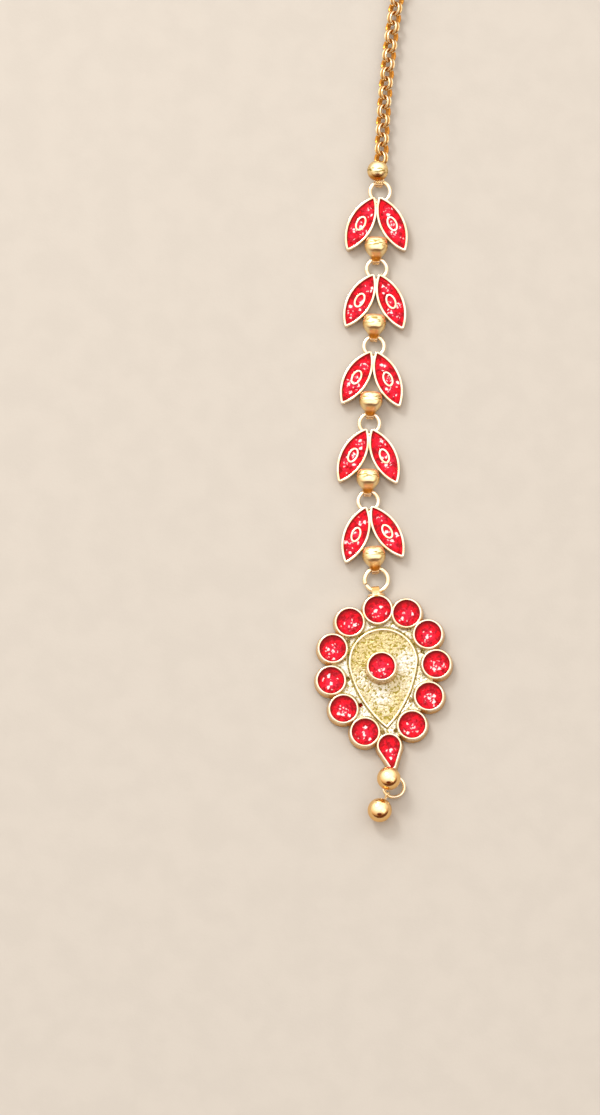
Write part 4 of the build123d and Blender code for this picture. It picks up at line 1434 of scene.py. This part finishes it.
class TIKKA_OT_stage(bpy.types.Operator):
    """A pale floor, soft lights and the camera."""

    bl_idname = "tikka.stage"
    bl_label = "Stage"

    def execute(self, context):
        scene, stage = context.scene, context.scene.tikka_stage
        self.lay_floor(stage)
        self.light_dome(scene)
        low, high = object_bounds()
        middle = (Vector(low) + Vector(high)) / 2
        for name, (away, side, share, colour) in LAMPS.items():
            lamp = self.hang(name, bpy.data.lights.new(name, "AREA"), middle, Vector(away))
            lamp.shape = "RECTANGLE"
            lamp.size = lamp.size_y = side
            lamp.energy = stage.key * share
            lamp.color = colour
        self.set_camera(scene, stage)
        scene.view_settings.view_transform = "Standard"
        return {"FINISHED"}

    def hang(self, name, data, aim, away, roll=0.0):
        """A lamp or camera that stands away from its aim, faces it and is turned by the roll
        about its own axis. Returns its data."""
        made = bpy.data.objects.new(name, data)
        made.location = aim + away
        turn = (-away).to_track_quat("-Z", "Y") @ Quaternion((0.0, 0.0, 1.0), roll)
        made.rotation_euler = turn.to_euler()
        bpy.context.scene.collection.objects.link(made)
        return data

    def lay_floor(self, stage):
        """A square of floor under everything, very slightly uneven."""
        mesh = bpy.data.meshes.new("Floor")
        signs = ((-1, -1), (1, -1), (1, 1), (-1, 1))
        corners = [(x * FLOOR_HALF, y * FLOOR_HALF, FLOOR_LEVEL) for x, y in signs]
        mesh.from_pydata(corners, [], [(0, 1, 2, 3)])
        floor = bpy.data.objects.new("Floor", mesh)
        bpy.context.scene.collection.objects.link(floor)
        finish = finish_of("Floor")
        mottle = finish.noise(6.0, 3.0).step(0.35, 0.65)
        mesh.materials.append(finish.set(
            Base_Color=finish.mix(mottle, stage.floor, toned(stage.floor, (0.97,) * 3)),
            Roughness=0.8,
            Normal=finish.bump(finish.noise(0.5, 3.0), 0.05, strength=0.3),
        ))
        floor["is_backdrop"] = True

    def light_dome(self, scene):
        """A soft warm dome, pale about an axis that leans away from the camera and darker
        and browner with the angle from it, with a dark oval card hung below the camera. The
        ramp runs from the axis's far end at 0 to its near end at 1."""
        dome = Finish(bpy.data.worlds.new("Dome"), "ShaderNodeBackground", "ShaderNodeOutputWorld")
        heading = dome.node("ShaderNodeTexCoord", output="Generated")

        def vector(operation, value, other, output=0):
            settings, inputs = {"operation": operation}, {0: value, 1: other}
            return dome.node("ShaderNodeVectorMath", settings, inputs, output)

        along = vector("DOT_PRODUCT", heading, Vector(DOME_AXIS).normalized(), "Value")
        share = dome.node("ShaderNodeMapRange", {}, {"Value": along, "From Min": -1.0})
        sky = dome.node("ShaderNodeValToRGB", {"stops": DOME_STOPS}, {"Fac": share})
        squeezed = vector("MULTIPLY", heading, CARD_SQUEEZE)
        away = vector("DISTANCE", squeezed, CARD_MIDDLE, "Value")
        shown = dome.mix(away.step(*CARD_EDGE), CARD_COLOUR, sky)
        scene.world = dome.set(Color=shown, Strength=DOME_STRENGTH)

    def set_camera(self, scene, stage):
        """A long lens that looks down from in front, aimed beside the part and turned a
        little about its own axis. The view is VIEW_HEIGHT high where it is aimed."""
        data = bpy.data.cameras.new("Camera")
        away = Vector((0.0, -np.cos(stage.elevation), np.sin(stage.elevation))) * stage.distance
        self.hang("Camera", data, Vector(CAMERA_AIM), away, np.radians(CAMERA_ROLL))
        data.sensor_width = SENSOR
        data.lens = SENSOR * stage.distance / VIEW_HEIGHT
        data.clip_end = 20.0
        scene.camera = bpy.data.objects["Camera"]


class TIKKA_PT_panel(bpy.types.Panel):
    """Buttons for the pieces, and their sizes and finishes."""

    bl_idname = "TIKKA_PT_panel"
    bl_label = "Maang tikka"
    bl_space_type = "VIEW_3D"
    bl_region_type = "UI"
    bl_category = "Tikka"

    def draw(self, context):
        for name in GROUPS:
            group, box = getattr(context.scene, name), self.layout.box()
            for setting in group.__annotations__:
                box.prop(group, setting)
        for operator in OPERATORS:
            self.layout.operator(operator.bl_idname)


OPERATORS = (
    TIKKA_OT_links,
    TIKKA_OT_leaf_enamel,
    TIKKA_OT_connector,
    TIKKA_OT_chain,
    TIKKA_OT_hook,
    TIKKA_OT_jump_ring,
    TIKKA_OT_pendant,
    TIKKA_OT_pendant_enamel,
    TIKKA_OT_drops,
    TIKKA_OT_stage,
)
GROUPS = {"tikka_finishes": TikkaFinishes, "tikka_shapes": TikkaShapes, "tikka_stage": TikkaStage}


def register():
    for name, group in GROUPS.items():
        bpy.utils.register_class(group)
        setattr(bpy.types.Scene, name, PointerProperty(type=group))
    for made in (*OPERATORS, TIKKA_PT_panel):
        bpy.utils.register_class(made)


def unregister():
    for made in (TIKKA_PT_panel, *reversed(OPERATORS)):
        bpy.utils.unregister_class(made)
    for name, group in GROUPS.items():
        delattr(bpy.types.Scene, name)
        bpy.utils.unregister_class(group)


def main():
    """Builds every piece in turn."""
    register()
    for operator in OPERATORS:
        group, name = operator.bl_idname.split(".")
        getattr(getattr(bpy.ops, group), name)()


if __name__ == "__main__":
    main()
